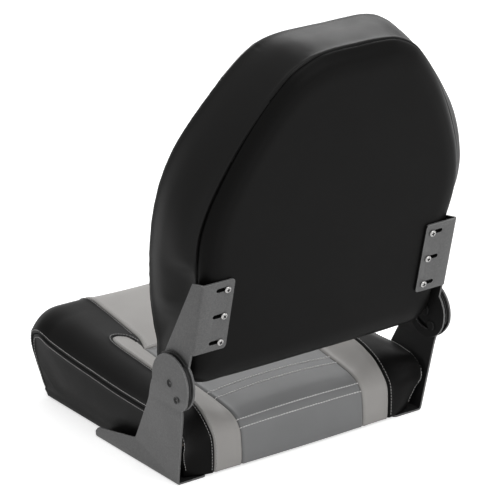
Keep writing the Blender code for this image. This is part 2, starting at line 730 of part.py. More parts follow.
def seat_bracket_outline():
    """Side view in Y from the rear corner and height above the foot's underside."""
    py, pz = PIVOT_BEHIND_CORNER, PIVOT_HEIGHT
    rear = line_to_disc(0.0, 0.0, rear_slope_share, py, pz)
    front = line_to_disc(-KNEE_SETBACK, KNEE_HEIGHT, front_slope_share, py, pz)
    start = math.atan2(rear[1] - pz, rear[0] - py)
    end = math.atan2(front[1] - pz, front[0] - py) + math.tau
    disc = [(y, z, 0.0) for y, z in arc((py, pz), DISC_RADIUS, start, end, ROUND_SIDES)]
    foot = [(-KNEE_SETBACK, KNEE_HEIGHT, KNEE_RADIUS),
            (-FOOT_LENGTH + TIP_RADIUS, FOOT_SIDE_HEIGHT, TIP_RADIUS / 2),
            (-FOOT_LENGTH, FOOT_SIDE_HEIGHT - TIP_RADIUS, TIP_RADIUS / 2),
            (-FOOT_LENGTH, 0.0, 0.0)]
    return rounded([(0.0, 0.0, 0.0)] + disc + foot)


def line_to_disc(y, z, slope, py, pz):
    """First point where a line that leaves (y, z) upward with dy/dz = slope meets the hinge disc."""
    a = slope * slope + 1
    b = 2 * (slope * (y - py) + (z - pz))
    c = (y - py) ** 2 + (z - pz) ** 2 - DISC_RADIUS ** 2
    rise = (-b - math.sqrt(b * b - 4 * a * c)) / (2 * a)
    return (y + slope * rise, z + rise)


def make_seat_bracket(side, sign):
    base_y, base_z = BRACKET_CORNER, FOOT_UNDERSIDE

    def profile_place(a, b, c):
        return (sign * a, base_y + c, base_z + b)

    reach = PIVOT_BEHIND_CORNER + DISC_RADIUS + OVERRUN
    sheet = prism(seat_bracket_profile(), -FOOT_LENGTH - OVERRUN, reach, profile_place)
    bracket = add_mesh("seat_bracket_" + side, *sheet, "grey_steel")
    side_view = prism(seat_bracket_outline(), FOOT_INNER - 2 * OVERRUN, HINGE_HALF + OVERRUN,
                      lambda a, b, c: (sign * c, base_y + a, base_z + b))
    boolean(bracket, cutter("bracket_side_view_" + side, *side_view), "INTERSECT")
    inner = FOOT_INNER
    middle = (inner + BRACKET_HALF) / 2
    outer = HINGE_HALF + OVERRUN
    rear = PIVOT_BEHIND_CORNER + DISC_RADIUS + OVERRUN
    plan = rounded([(inner, 0.0, FOOT_CORNER), (middle, 0.0, 0.0), (middle, rear, 0.0), (outer, rear, 0.0),
                    (outer, -FOOT_LENGTH - OVERRUN, 0.0), (middle, -FOOT_LENGTH - OVERRUN, 0.0),
                    (middle, -FOOT_LENGTH, 0.0), (inner, -FOOT_LENGTH, FOOT_CORNER)])
    tall = PIVOT_HEIGHT + DISC_RADIUS + 2 * OVERRUN
    plan_view = prism(plan, -OVERRUN, tall, lambda a, b, c: (sign * a, base_y + b, base_z + c))
    boolean(bracket, cutter("bracket_plan_view_" + side, *plan_view), "INTERSECT")
    bore_x(bracket, "seat_pivot_hole_" + side, sign, PIVOT_RADIUS + GAP, 0.0, 0.0)
    bore_x(bracket, "seat_stop_hole_" + side, sign, STOP_RADIUS + GAP, *stop_place())
    for screw_side, number, x, y in base_screw_places():
        if screw_side == side:
            place = shifted(x, y, FOOT_UNDERSIDE)
            tool = turned(base_screw_profile(GAP), SMALL_SIDES, place)
            boolean(bracket, cutter(f"foot_hole_{side}_{number}", *tool))


def base_screw_profile(clearance):
    """Countersunk screw pointing up from the foot's underside, or its hole when given a clearance."""
    flush = GAP if clearance == 0 else -OVERRUN
    end = BASE_SCREW_END - FOOT_UNDERSIDE - GAP
    return [(0, flush), (BASE_SCREW_HEAD_RADIUS + clearance, flush),
            (BASE_SCREW_HEAD_RADIUS + clearance, 2 * GAP),
            (BASE_SCREW_RADIUS + clearance, BASE_SCREW_HEAD_HEIGHT), (BASE_SCREW_RADIUS + clearance, end),
            (0, end)]


def stop_place():
    """The stop rivet's place from the pivot, in Y and Z."""
    return (STOP_REACH * math.cos(STOP_ANGLE), STOP_REACH * math.sin(STOP_ANGLE))


def hinge_place(sign, y=0.0, z=0.0):
    """Round pieces on the hinge: distances along the axis are measured out from the middle plane."""
    return lambda a, b, c: (sign * c, PIVOT.y + y + a, PIVOT.z + z + b)


def bore_x(target, name, sign, radius, y, z):
    low, high = BLADE_FACE - SHEET - OVERRUN, HINGE_HALF + OVERRUN
    profile = [(0, low), (radius, low), (radius, high), (0, high)]
    boolean(target, cutter(name, *turned(profile, ROUND_SIDES, hinge_place(sign, y, z))))


def make_hinge(side, sign):
    """Spacers, hinge plate and rivets between the seat bracket's disc and the back bracket's disc."""
    bore = PIVOT_RADIUS + GAP
    ring = [(bore, INNER_SPACER_FACE), (INNER_SPACER_RADIUS, INNER_SPACER_FACE),
            (INNER_SPACER_RADIUS, INNER_SPACER_FACE + SPACER), (bore, INNER_SPACER_FACE + SPACER)]
    add_mesh("hinge_spacer_inner_" + side, *turned(ring, ROUND_SIDES, hinge_place(sign)), "dark_plastic")
    radius = DISC_RADIUS - SPACER_INSET
    cut = math.asin(SPACER_CHORD / radius)
    outline = arc((0.0, 0.0), radius, -cut, math.pi + cut, ROUND_SIDES)
    solid = prism(outline, OUTER_SPACER_FACE, OUTER_SPACER_FACE + SPACER, hinge_place(sign))
    spacer = add_mesh("hinge_spacer_outer_" + side, *solid, "dark_plastic")
    bore_x(spacer, "spacer_pivot_hole_" + side, sign, bore, 0.0, 0.0)
    cut = math.asin(HINGE_PLATE_CHORD / HINGE_PLATE_RADIUS)
    outline = arc((0.0, 0.0), HINGE_PLATE_RADIUS, -cut, LOBE_START_ANGLE, LOBE_STEPS)
    outline += arc((0.0, 0.0), LOBE_RADIUS, LOBE_START_ANGLE, LOBE_END_ANGLE, LOBE_STEPS)
    outline += arc((0.0, 0.0), HINGE_PLATE_RADIUS, LOBE_END_ANGLE, math.pi + cut, LOBE_STEPS)
    solid = prism(outline, HINGE_PLATE_FACE, HINGE_PLATE_FACE + HINGE_PLATE, hinge_place(sign))
    plate = add_mesh("hinge_plate_" + side, *solid, "grey_steel")
    bore_x(plate, "plate_pivot_hole_" + side, sign, bore, 0.0, 0.0)
    for name, radius, head, place in (
            ("pivot_rivet_", PIVOT_RADIUS, PIVOT_HEAD_RADIUS, hinge_place(sign)),
            ("stop_rivet_", STOP_RADIUS, STOP_HEAD_RADIUS, hinge_place(sign, *stop_place()))):
        add_mesh(name + side, *turned(rivet_profile(radius, head), ROUND_SIDES, place), "grey_steel")


def rivet_profile(radius, head_radius):
    """Rivet with a dimpled outer end, nearly flush, and a flat head at the inboard side."""
    seat = BLADE_FACE - SHEET - GAP
    end = HINGE_HALF + RIVET_PROUD
    return [(0, seat - RIVET_HEAD), (head_radius, seat - RIVET_HEAD), (head_radius, seat), (radius, seat),
            (radius, end), (radius * dimple_share, end), (0, end - RIVET_DIMPLE)]


def back_bracket_outline():
    """Side blade in depth and rise: fold line, neck, disc and front edge, from the fold's lower end."""
    disc = arc((HINGE_SETBACK, 0.0), DISC_RADIUS, NECK_ANGLE, BLADE_FOOT_ANGLE + math.tau, ROUND_SIDES)
    return disc + [(BLADE_TOP_REACH, PLATE_TOP - BLADE_TOP_DROP)]


def make_back_bracket(side, sign, hinge):
    """Sheet outline of blade, bend and plate, given its thickness, then slotted and bored."""
    outer = BLADE_FACE
    blade = back_bracket_outline()
    low, high = PLATE_BOTTOM, PLATE_TOP
    points = [(outer, depth, rise) for depth, rise in blade]
    points += [(outer, BEND_RADIUS, high), (outer, BEND_RADIUS, low)]
    top, bottom = len(points) - 2, len(points) - 1
    faces = [tuple(range(len(points)))]
    for i in range(1, BEND_STEPS + 1):
        angle = math.pi / 2 * i / BEND_STEPS
        x = outer - BEND_RADIUS * (1 - math.cos(angle))
        depth = BEND_RADIUS * (1 - math.sin(angle))
        points += [(x, depth, high), (x, depth, low)]
        faces.append((bottom, top, len(points) - 2, len(points) - 1))
        top, bottom = len(points) - 2, len(points) - 1
    inner = SCREW_PLACE - PLATE_MARGIN
    corners = rounded([(outer - BEND_RADIUS, low, 0.0), (outer - BEND_RADIUS, high, 0.0),
                       (inner, high, PLATE_CORNER), (inner, low, PLATE_CORNER)])
    first = len(points)
    points += [(x, 0.0, rise) for x, rise in corners[2:]]
    faces.append((bottom, top) + tuple(range(first, len(points))))
    count = len(points)
    inside = []
    for x, depth, rise in points:
        if x == outer:
            inside.append((x - SHEET, depth, rise))
        elif depth == 0:
            inside.append((x, SHEET, rise))
        else:
            shrink = (BEND_RADIUS - SHEET) / BEND_RADIUS
            centre = outer - BEND_RADIUS
            nearer = BEND_RADIUS + (depth - BEND_RADIUS) * shrink
            inside.append((centre + (x - centre) * shrink, nearer, rise))
    edges = {}
    for face in faces:
        for k in range(len(face)):
            edges[(face[k], face[(k + 1) % len(face)])] = True
    solid = list(faces) + [tuple(count + i for i in reversed(face)) for face in faces]
    for start, end in edges:
        if (end, start) not in edges:
            solid.append((end, start, count + start, count + end))
    world = [leaning(sign * x, depth, rise) for x, depth, rise in points + inside]
    bracket = add_mesh("back_bracket_" + side, *outward(world, solid), "grey_steel", hinge)
    bore_x(bracket, "back_pivot_hole_" + side, sign, PIVOT_RADIUS + GAP, 0.0, 0.0)
    low_x, high_x = BLADE_FACE - SHEET - OVERRUN, BLADE_FACE + OVERRUN
    slot = curved_slot(STOP_ANGLE - FOLD_ANGLE, STOP_ANGLE, STOP_REACH, STOP_RADIUS + GAP)
    boolean(bracket, cutter("stop_slot_" + side, *prism(slot, low_x, high_x, hinge_place(sign))))
    for number, rise in enumerate(screw_rises(), start=1):
        start = SCREW_PLACE - SLOT_WIDTH / 2
        outline = straight_slot(start, start + SLOT_LENGTH, rise, SLOT_WIDTH / 2)
        tool = prism(outline, -OVERRUN, SHEET + OVERRUN, lambda a, b, c: leaning(sign * a, c, b))
        boolean(bracket, cutter(f"slot_{side}_{number}", *tool))


def straight_slot(low, high, middle, radius):
    return (arc((high - radius, middle), radius, -math.pi / 2, math.pi / 2, SLOT_END_STEPS)
            + arc((low + radius, middle), radius, math.pi / 2, 3 * math.pi / 2, SLOT_END_STEPS))


def curved_slot(start, end, reach, radius):
    """Outline of a slot round the pivot whose ends leave the pin its clearance."""
    outline = arc((0.0, 0.0), reach + radius, start, end, SLOT_STEPS)
    centre = (reach * math.cos(end), reach * math.sin(end))
    outline += arc(centre, radius, end, end + math.pi, SLOT_END_STEPS)[1:-1]
    outline += arc((0.0, 0.0), reach - radius, end, start, SLOT_STEPS)
    centre = (reach * math.cos(start), reach * math.sin(start))
    outline += arc(centre, radius, start + math.pi, start + math.tau, SLOT_END_STEPS)[1:-1]
    return outline


def screw_rises():
    return [PLATE_BOTTOM + SCREW_MARGIN + i * SCREW_PITCH for i in range(SCREW_COUNT)]


def back_loop(shares, depth, shrink=0.0):
    """Closed loop of points round the backrest, counter-clockwise seen from the rear."""
    half = [(x * BACK_WIDTH / 2, rise * BACK_HEIGHT - BACK_DROP, rise) for x, rise in shares]
    middle = (half[0][1] + half[-1][1]) / 2
    full = half + [(-x, rise, share) for x, rise, share in half[-2:0:-1]]
    loop = []
    for x, rise, share in full:
        rise = middle + (rise - middle) * (1 - shrink)
        here = (rise + BACK_DROP) / BACK_HEIGHT
        loop.append(leaning(x * (1 - shrink), depth(here) if callable(depth) else depth, rise))
    return loop


def depth_at(shares, share):
    """Depth at a share of the backrest's height, from a table of shares of the full depth."""
    places = [place for place, _ in shares]
    depths = [depth for _, depth in shares]
    return float(np.interp(share, places, depths)) * FRONT_EDGE_DEPTH


def front_depth(share):
    return depth_at(front_depth_shares, share)


def bulge_depth(share):
    return depth_at(bulge_depth_shares, share)


def middle_depth(share):
    return (bulge_depth(share) + front_depth(share)) / 2


def back_skin():
    """Skin of the backrest from the middle of its rear over the boxing to the middle of its front."""
    loops = []
    for shrink, share in reversed(rear_ring_shares):
        depth = REAR_SEAM_DEPTH + (BACK_FACE - REAR_SEAM_DEPTH) * share
        loops.append(back_loop(rear_seam_shares, depth, shrink))
    loops.append(back_loop(rear_seam_shares, REAR_SEAM_DEPTH))
    rear_seam = len(loops) - 1
    loops.append(back_loop(bulge_shares, bulge_depth))
    loops.append(back_loop(middle_shares, middle_depth))
    loops.append(back_loop(front_edge_shares, front_depth))
    front_seam = len(loops) - 1
    for shrink, share in front_ring_shares:
        loops.append(back_loop(front_edge_shares, lambda s: front_depth(s) + FRONT_CROWN * share, shrink))
    count = len(loops[0])
    points = [p for loop in loops for p in loop]
    faces = []
    rear_middle, front_middle = len(points), len(points) + 1
    points.append(tuple(np.mean(loops[0], axis=0)))
    points.append(tuple(np.mean(loops[-1], axis=0)))
    groups = {"rear": [], "boxing": [], "front": []}
    last = (len(loops) - 1) * count
    for i in range(count):
        j = (i + 1) % count
        groups["rear"].append((rear_middle, j, i))
        groups["front"].append((front_middle, last + i, last + j))
    for ring in range(len(loops) - 1):
        group = "rear" if ring < rear_seam else "boxing" if ring < front_seam else "front"
        for i in range(count):
            j = (i + 1) % count
            a, b = ring * count + i, ring * count + j
            groups[group] += split_quad(a, b, b + count, a + count)
    numbers = {}
    for name, members in groups.items():
        numbers[name] = range(len(faces), len(faces) + len(members))
        faces += members
    return Skin(points, faces), numbers


def make_back(hinge):
    skin, groups = back_skin()
    rear = panel("back_cover_rear", skin, groups["rear"], "black_vinyl", hinge)
    panel("back_cover_boxing", skin, groups["boxing"], "black_vinyl", hinge)
    make_front_covers(skin, groups, hinge)
    inner = skin.inner(COVER + GAP)
    foam = add_mesh("back_foam", *outward([tuple(p) for p in inner], skin.faces), "foam", hinge)
    inset = BOARD_INSET / (BACK_WIDTH / 2)
    outline = [(x * BACK_WIDTH / 2, rise * BACK_HEIGHT - BACK_DROP) for x, rise in rear_seam_shares]
    middle = (outline[0][1] + outline[-1][1]) / 2
    half = [(x * (1 - inset), middle + (rise - middle) * (1 - inset)) for x, rise in outline]
    full = half + [(-x, rise) for x, rise in half[-2:0:-1]]
    board_place = lambda a, b, c: leaning(a, c, b)
    pocket = prism(grown(full, GAP), -OVERRUN, BOARD_FRONT + GAP, board_place)
    boolean(foam, cutter("board_pocket", *pocket))
    board = add_mesh("back_board", *prism(full, BOARD_REAR, BOARD_FRONT, board_place), "plywood", hinge)
    for side, sign in SIDES:
        for number, rise in enumerate(screw_rises(), start=1):
            make_back_fastener(f"{side}_{number}", sign, rise, board, rear, hinge)


def make_front_covers(skin, groups, hinge):
    """The front cover's panels, parted at upright seams."""
    wide = BACK_WIDTH / 2 + OVERRUN
    low, high = -BACK_DROP - OVERRUN, BACK_HEIGHT - BACK_DROP + OVERRUN
    parts = [("insert", "mid_vinyl", -INSERT_HALF, INSERT_HALF)]
    for side, sign in SIDES:
        parts.append(("stripe_" + side, "light_vinyl", sign * (INSERT_HALF + SEAM_GAP), sign * STRIPE_HALF))
        parts.append(("side_" + side, "black_vinyl", sign * (STRIPE_HALF + SEAM_GAP), sign * wide))
    for name, finish, start, end in parts:
        made = panel("back_cover_front_" + name, skin, groups["front"], finish, hinge)
        outline = [(start, low), (end, low), (end, high), (start, high)]
        tool = prism(outline, OVERRUN, FRONT_EDGE_DEPTH + FRONT_CROWN + OVERRUN,
                     lambda a, b, c: leaning(a, c, b))
        boolean(made, cutter("front_field_" + name, *tool), "INTERSECT")


def make_back_fastener(label, sign, rise, board, cover, hinge):
    """Pan head screw through the slot and the cover into a T-nut in the board."""
    x = sign * SCREW_PLACE
    place = lambda a, b, c: leaning(x + a, c, rise + b)
    hole = t_nut_hole_profile(NUT_RADIUS + GAP, NUT_FLANGE_RADIUS + GAP, BOARD_FRONT)
    boolean(board, cutter("board_hole_" + label, *turned(hole, SMALL_SIDES, place)))
    bore = BACK_SCREW_RADIUS + GAP
    hole = [(0, -OVERRUN), (bore, -OVERRUN), (bore, BOARD_REAR), (0, BOARD_REAR)]
    boolean(cover, cutter("cover_hole_" + label, *turned(hole, SMALL_SIDES, place)))
    nut = t_nut_profile(NUT_RADIUS, NUT_BORE, NUT_FLANGE_RADIUS, BOARD_REAR, BOARD_FRONT)
    add_mesh("back_t_nut_" + label, *turned(nut, SMALL_SIDES, place), "bright_steel", hinge)
    seat, top = -GAP, -GAP - BACK_SCREW_HEAD_HEIGHT
    end = BOARD_FRONT - NUT_FLANGE
    screw = [(0, top)]
    screw += [(BACK_SCREW_HEAD_RADIUS * a, seat - BACK_SCREW_HEAD_HEIGHT * b) for a, b in pan_head_shares]
    screw += [(BACK_SCREW_HEAD_RADIUS, seat), (BACK_SCREW_RADIUS, seat), (BACK_SCREW_RADIUS, end), (0, end)]
    made = add_mesh("back_screw_" + label, *turned(screw, SMALL_SIDES, place), "bright_steel", hinge)
    half, reach = RECESS_WIDTH / 2, RECESS_LENGTH / 2
    cross = [(half, -reach), (half, -half), (reach, -half),
             (reach, half), (half, half), (half, reach),
             (-half, reach), (-half, half), (-reach, half),
             (-reach, -half), (-half, -half), (-half, -reach)]
    tool = prism(cross, top - OVERRUN, top + RECESS_DEPTH, place)
    boolean(made, cutter("recess_" + label, *tool))


def make_base_screws():
    for side, number, x, y in base_screw_places():
        place = shifted(x, y, FOOT_UNDERSIDE)
        add_mesh(f"base_screw_{side}_{number}", *turned(base_screw_profile(0), SMALL_SIDES, place),
                 "bright_steel")


def main():
    for old in list(bpy.data.objects):
        bpy.data.objects.remove(old, do_unlink=True)
    hinge = bpy.data.objects.new("back_hinge_axis", None)
    hinge.location = PIVOT
    bpy.context.collection.objects.link(hinge)
    make_seat()
    make_base_screws()
    for side, sign in SIDES:
        make_seat_bracket(side, sign)
        make_hinge(side, sign)
        make_back_bracket(side, sign, hinge)
    make_back(hinge)


main()
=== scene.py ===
# %% [markdown]
# Folding boat seat
# A boat seat has two padded halves, covered in sewn vinyl, and a pair of steel hinges that lets
# the backrest fold down on the seat. The solids of the part are loaded first and stay where they
# are. This lesson then dresses them: it makes the sewn covers, the thread, the painted steel and
# the bright screws, and sets up a photographer's table around them.

import json
import math

import bmesh
import bpy
import numpy as np
from mathutils import Matrix, Vector
from mathutils.bvhtree import BVHTree
from mathutils.kdtree import KDTree

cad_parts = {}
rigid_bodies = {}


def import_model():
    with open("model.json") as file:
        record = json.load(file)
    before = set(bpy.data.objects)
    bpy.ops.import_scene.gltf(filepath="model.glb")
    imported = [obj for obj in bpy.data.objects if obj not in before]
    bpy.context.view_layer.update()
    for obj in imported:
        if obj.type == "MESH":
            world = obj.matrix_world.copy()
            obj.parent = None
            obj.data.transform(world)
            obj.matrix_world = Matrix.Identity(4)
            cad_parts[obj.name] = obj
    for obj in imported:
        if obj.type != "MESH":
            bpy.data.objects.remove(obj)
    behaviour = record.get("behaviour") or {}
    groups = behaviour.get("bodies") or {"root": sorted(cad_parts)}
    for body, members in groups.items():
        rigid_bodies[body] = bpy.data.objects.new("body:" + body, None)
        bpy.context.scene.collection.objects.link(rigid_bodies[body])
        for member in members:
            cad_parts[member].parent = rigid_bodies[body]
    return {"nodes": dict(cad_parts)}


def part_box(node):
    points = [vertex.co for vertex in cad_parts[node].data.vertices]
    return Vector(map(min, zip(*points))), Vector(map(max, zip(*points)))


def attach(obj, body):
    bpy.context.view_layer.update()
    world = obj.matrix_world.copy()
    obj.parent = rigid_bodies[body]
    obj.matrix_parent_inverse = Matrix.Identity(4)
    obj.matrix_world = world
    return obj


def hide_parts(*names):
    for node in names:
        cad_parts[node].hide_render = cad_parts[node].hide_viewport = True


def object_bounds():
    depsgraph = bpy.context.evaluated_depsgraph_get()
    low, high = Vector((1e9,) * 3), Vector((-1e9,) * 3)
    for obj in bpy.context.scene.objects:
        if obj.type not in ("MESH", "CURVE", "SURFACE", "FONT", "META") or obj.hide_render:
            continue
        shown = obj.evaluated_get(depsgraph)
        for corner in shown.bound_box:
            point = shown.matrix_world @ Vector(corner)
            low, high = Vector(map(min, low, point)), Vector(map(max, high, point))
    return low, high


for leftover in list(bpy.data.objects):
    bpy.data.objects.remove(leftover)
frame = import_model()
nodes = frame["nodes"]
cad_box = [list(corner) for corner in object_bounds()]
scene = bpy.context.scene
print("solids", len(nodes), "box", [[round(v, 4) for v in corner] for corner in cad_box])

# %% [markdown]
# The camera stands behind the seat, a little above it and to its left, with a long lens. Its
# place and turn are written as the direction that it looks from, so that it can be read.

# %% Camera
CAMERA_PLACE = (2.5385, 3.4876, 1.9229)
CAMERA_AZIMUTH, CAMERA_ELEVATION, CAMERA_ROLL = (math.radians(v) for v in (143.5153, 21.3327, 0.0702))
CAMERA_LENS, SENSOR = 233.612, 36.0
FAR_ENOUGH = 60.0


def placed(name, data):
    """A new object of some mesh, lamp or camera data, in the scene."""
    made = bpy.data.objects.new(name, data)
    scene.collection.objects.link(made)
    return made


def camera_turn(azimuth, elevation, roll):
    """Rotation of a camera that looks towards the seat from an azimuth and an elevation."""
    back = Vector((math.sin(azimuth) * math.cos(elevation), -math.cos(azimuth) * math.cos(elevation),
                   math.sin(elevation)))
    right = Vector((math.cos(azimuth), math.sin(azimuth), 0.0))
    up = back.cross(right)
    rolled = right * math.cos(roll) + up * math.sin(roll)
    return Matrix((rolled, back.cross(rolled), back)).transposed().to_4x4()


camera = placed("camera", bpy.data.cameras.new("camera"))
camera.data.sensor_width = SENSOR
camera.data.lens = CAMERA_LENS
camera.data.clip_end = FAR_ENOUGH
looking = camera_turn(CAMERA_AZIMUTH, CAMERA_ELEVATION, CAMERA_ROLL)
camera.matrix_world = Matrix.Translation(CAMERA_PLACE) @ looking
scene.camera = camera
print("camera at", CAMERA_PLACE, "lens", CAMERA_LENS)

# %% [markdown]
# Node trees are easier to read as arithmetic. Value wraps a socket, so that a sum or a product
# of two values adds the Math node that does it. Every other node comes from one method of Tree,
# which takes the node's type, its settings and what goes into its sockets. Finish is the tree of
# one material, with short names for the patterns that the finishes share.

# %% Shader arithmetic
class Value:
    """A socket that adds Math nodes when it is used in a sum."""

    def __init__(self, owner, socket):
        self.owner, self.socket = owner, socket

    def also(self, output):
        """Another output of the same node."""
        return Value(self.owner, self.socket.node.outputs[output])

    def maths(self, operation, *parts):
        return self.owner.node("ShaderNodeMath", {"operation": operation}, dict(enumerate(parts)))

    def __add__(self, other):
        return self.maths("ADD", self, other)

    __radd__ = __add__

    def __sub__(self, other):
        return self.maths("SUBTRACT", self, other)

    def __rsub__(self, other):
        return self.maths("SUBTRACT", other, self)

    def __mul__(self, other):
        return self.maths("MULTIPLY", self, other)

    __rmul__ = __mul__

    def clamped(self):
        return self.maths("MINIMUM", self.maths("MAXIMUM", self, 0.0), 1.0)

    def sine(self):
        return self.maths("SINE", self)


class Tree:
    """A node tree whose nodes all come from one method."""

    def __init__(self, tree):
        self.tree = tree

    def node(self, kind, settings=None, inputs=None, out=0):
        made = self.tree.nodes.new(kind)
        for key, value in (settings or {}).items():
            setattr(made, key, value)
        for key, value in (inputs or {}).items():
            self.feed(made.inputs[key], value)
        return Value(self, made.outputs[out]) if len(made.outputs) else made

    def feed(self, socket, value):
        if isinstance(value, Value):
            self.tree.links.new(value.socket, socket)
        else:
            socket.default_value = value


class Finish(Tree):
    """One procedural material, built up around its Principled shader."""

    def __init__(self, name, roughness, metallic=0.0, specular=0.5):
        self.material = bpy.data.materials.new(name)
        self.material.use_nodes = True
        super().__init__(self.material.node_tree)
        self.shader = self.tree.nodes["Principled BSDF"]
        self.set(Roughness=roughness, Metallic=metallic, Specular_IOR_Level=specular)
        self.object_coords = self.node("ShaderNodeTexCoord", out="Object")

    def noise(self, size, detail=2.0, roughness=0.5):
        """Noise from 0 to 1 whose lumps are about size metres across."""
        return self.node("ShaderNodeTexNoise", None, {
            "Vector": self.object_coords, "Scale": 1 / size, "Detail": detail, "Roughness": roughness})

    def cells(self, size, feature="F1"):
        """Distance pattern of cells about size metres across."""
        return self.node("ShaderNodeTexVoronoi", {"feature": feature}, {
            "Vector": self.object_coords, "Scale": 1 / size}, out="Distance")

    def attribute(self, name):
        return self.node("ShaderNodeAttribute", {"attribute_name": name}, out="Fac")

    def mix(self, share, low, high):
        """Colour between low and high."""
        return self.node("ShaderNodeMix", {"data_type": "RGBA"}, {0: share, 6: low, 7: high}, out=2)

    def set(self, **values):
        """Feed inputs of the Principled shader, whose names are written with _ for a space."""
        for key, value in values.items():
            self.feed(self.shader.inputs[key.replace("_", " ")], value)

    def bump(self, height, distance, strength=1.0):
        self.set(Normal=self.node("ShaderNodeBump", None, {
            "Height": height, "Distance": distance, "Strength": strength}))


def shade(grey, warm=0.0):
    """Linear colour of an sRGB grey from 0 to 255; warm moves it to yellow, or to blue when negative."""
    def linear(v):
        v = v / 255
        return v / 12.92 if v <= 0.04045 else ((v + 0.055) / 1.055) ** 2.4
    return (linear(grey + warm), linear(grey), linear(grey - warm), 1.0)


print("a grey of 128 in linear light", [round(part, 4) for part in shade(128)])

# %% [markdown]
# Where the side band of the backrest is eased round its front edge, the vinyl gathers in tiny
# folds. They are hardly larger than the grain, so they are relief of the finish and not shape: a
# sine wave along the edge, made uneven by noise, that dies away from the edge.

# %% Gathers of the side band
GATHER_PITCH, GATHER_REACH, GATHER_DEPTH = 0.0019, 0.016, 0.00045
GATHER_DRIFT, GATHER_UNEVEN = 0.012, 2.5


def gathered(made):
    """Height of the small gathers beside the front edge; the map is in metres along and away from it."""
    place = made.node("ShaderNodeUVMap", {"uv_map": "gathers"}, out="UV")
    along = made.node("ShaderNodeSeparateXYZ", None, {"Vector": place})
    uneven = made.noise(GATHER_DRIFT, 2.0) * GATHER_UNEVEN
    wave = (along * (math.tau / GATHER_PITCH) + uneven).sine()
    near = (1.0 - along.also("Y") * (1 / GATHER_REACH)).clamped()
    return wave * near * near * (GATHER_DEPTH / 2)


print("gathers", GATHER_PITCH, "m apart, over", GATHER_REACH, "m")

# %% [markdown]
# Marine vinyl is a smooth plastic skin embossed with a leather grain: pebbles about a
# millimetre across with fine creases between them. A cell pattern gives the pebbles, noise
# breaks up their rows, and both go to a Bump node. The colour hardly changes, only a little from
# place to place. Down in the seams it gets a painted shade, by an attribute that the covers mark.

# %% Vinyl finishes
PEBBLE, PEBBLE_DEPTH, CREASE = 0.0013, 0.00012, 0.0042
CLOUDS, SHEEN_CLOUDS, SPECKS = 0.09, 0.05, 0.0009


def vinyl(name, grey, warm, roughness, gloss, painted_seam_shade=0.55, gathers=False):
    made = Finish(name, roughness, specular=gloss)
    base, low, high = shade(grey, warm), shade(grey * 0.93, warm), shade(grey * 1.05, warm)
    clouded = made.mix(made.noise(CLOUDS, 3.0), low, high)
    fine = made.mix((made.noise(SPECKS, 1.0) - 0.35).clamped() * 0.5, clouded, base)
    # Painted shade: the colour is darker in the seams, by the seam attribute of the covers.
    made.set(Base_Color=made.mix(made.attribute("seam"), fine, shade(grey * painted_seam_shade, warm)))
    uneven = made.noise(SHEEN_CLOUDS, 2.0) * 0.12 + made.cells(PEBBLE) * 0.10
    made.set(Roughness=uneven + (roughness - 0.10))
    pebbles = made.cells(PEBBLE, "DISTANCE_TO_EDGE")
    height = pebbles * 1.1 + made.noise(PEBBLE * 0.45, 2.0) * 0.35 + made.noise(CREASE, 2.0) * 0.45
    height = height * PEBBLE_DEPTH
    if gathers:
        height = height + gathered(made)
    made.bump(height, 1.0, 0.8)
    return made.material


BLACK_VINYL = vinyl("black_vinyl_finish", 12, 0.3, 0.42, 0.06)
# A lit copy of the black vinyl for the side band, with the gathers: a paler base colour and more gloss
# stand in for the sheen of the lamps on it.
GATHERED_LIT_VINYL = vinyl("gathered_black_vinyl", 14, 0.3, 0.42, 0.14, gathers=True)
LIGHT_VINYL = vinyl("light_vinyl_finish", 162, 2.5, 0.50, 0.30, painted_seam_shade=0.80)
MID_VINYL = vinyl("mid_vinyl_finish", 128, -0.6, 0.50, 0.30, painted_seam_shade=0.80)
print("vinyl finishes", BLACK_VINYL.name, LIGHT_VINYL.name, MID_VINYL.name)

# %% [markdown]
# The brackets are steel under powder paint, which has a fine orange peel. Over an edge the paint
# is paler, partly rubbed and partly a painted highlight, and down in a slot it gets a painted
# shade. The steel pieces mark both in attributes of their own. The screws are bright, with a
# painted shade down in their crosses.

# %% Painted and bright metal
SPECKLE, MOTTLE, PAINT_CLOUDS = 0.0009, 0.0026, 0.03
ORANGE_PEEL, PEEL_DEPTH = 0.0011, 0.00018


def powder_paint(name, grey, roughness=0.52):
    made = Finish(name, roughness, specular=0.3)
    speckle = (made.noise(SPECKLE, 2.0) * 2.0 - 0.5).clamped()
    coat = made.mix(speckle, shade(grey * 0.84), shade(grey * 1.12))
    mottle = (made.noise(MOTTLE, 3.0) * 3.0 - 1.0).clamped()
    broad = made.mix(mottle * 0.6, coat, shade(grey * 0.82))
    # Paler paint on the marked bevels: partly rubbed paint, partly a painted highlight.
    paint = made.mix(made.attribute("edge") * 0.6, broad, shade(grey * 1.5))
    # Painted shade: marked faces get paint at a fifth of its grey.
    made.set(Base_Color=made.mix(made.attribute("recess"), paint, shade(grey * 0.2)))
    made.set(Roughness=made.noise(PAINT_CLOUDS, 2.0) * 0.12 + (roughness - 0.06))
    made.bump(made.noise(ORANGE_PEEL, 2.0), PEEL_DEPTH, 0.8)
    return made.material


def bright_metal(name):
    made = Finish(name, 0.25, 1.0)
    bright = made.mix(made.noise(0.004, 3.0), shade(150, 1.0), shade(186, 1.0))
    # Painted shade: marked faces down in the cross get a dark grey.
    made.set(Base_Color=made.mix(made.attribute("recess"), bright, shade(22)))
    made.set(Roughness=made.noise(0.0015, 3.0) * 0.18 + 0.18)
    made.bump(made.noise(0.0006, 2.0), 0.00002, 0.5)
    return made.material


GREY_PAINT = powder_paint("powder_paint", 107)
BLACK_PAINT = powder_paint("black_paint", 30)
BRIGHT_STEEL = bright_metal("bright_screw_steel")
print("metal finishes", GREY_PAINT.name, BLACK_PAINT.name, BRIGHT_STEEL.name)

# %% [markdown]
# The base board and the washers are moulded plastic with a fine texture of the mould. The rest is
# cut foam with open pores, plywood with its long grain, and thread twisted from polyester.

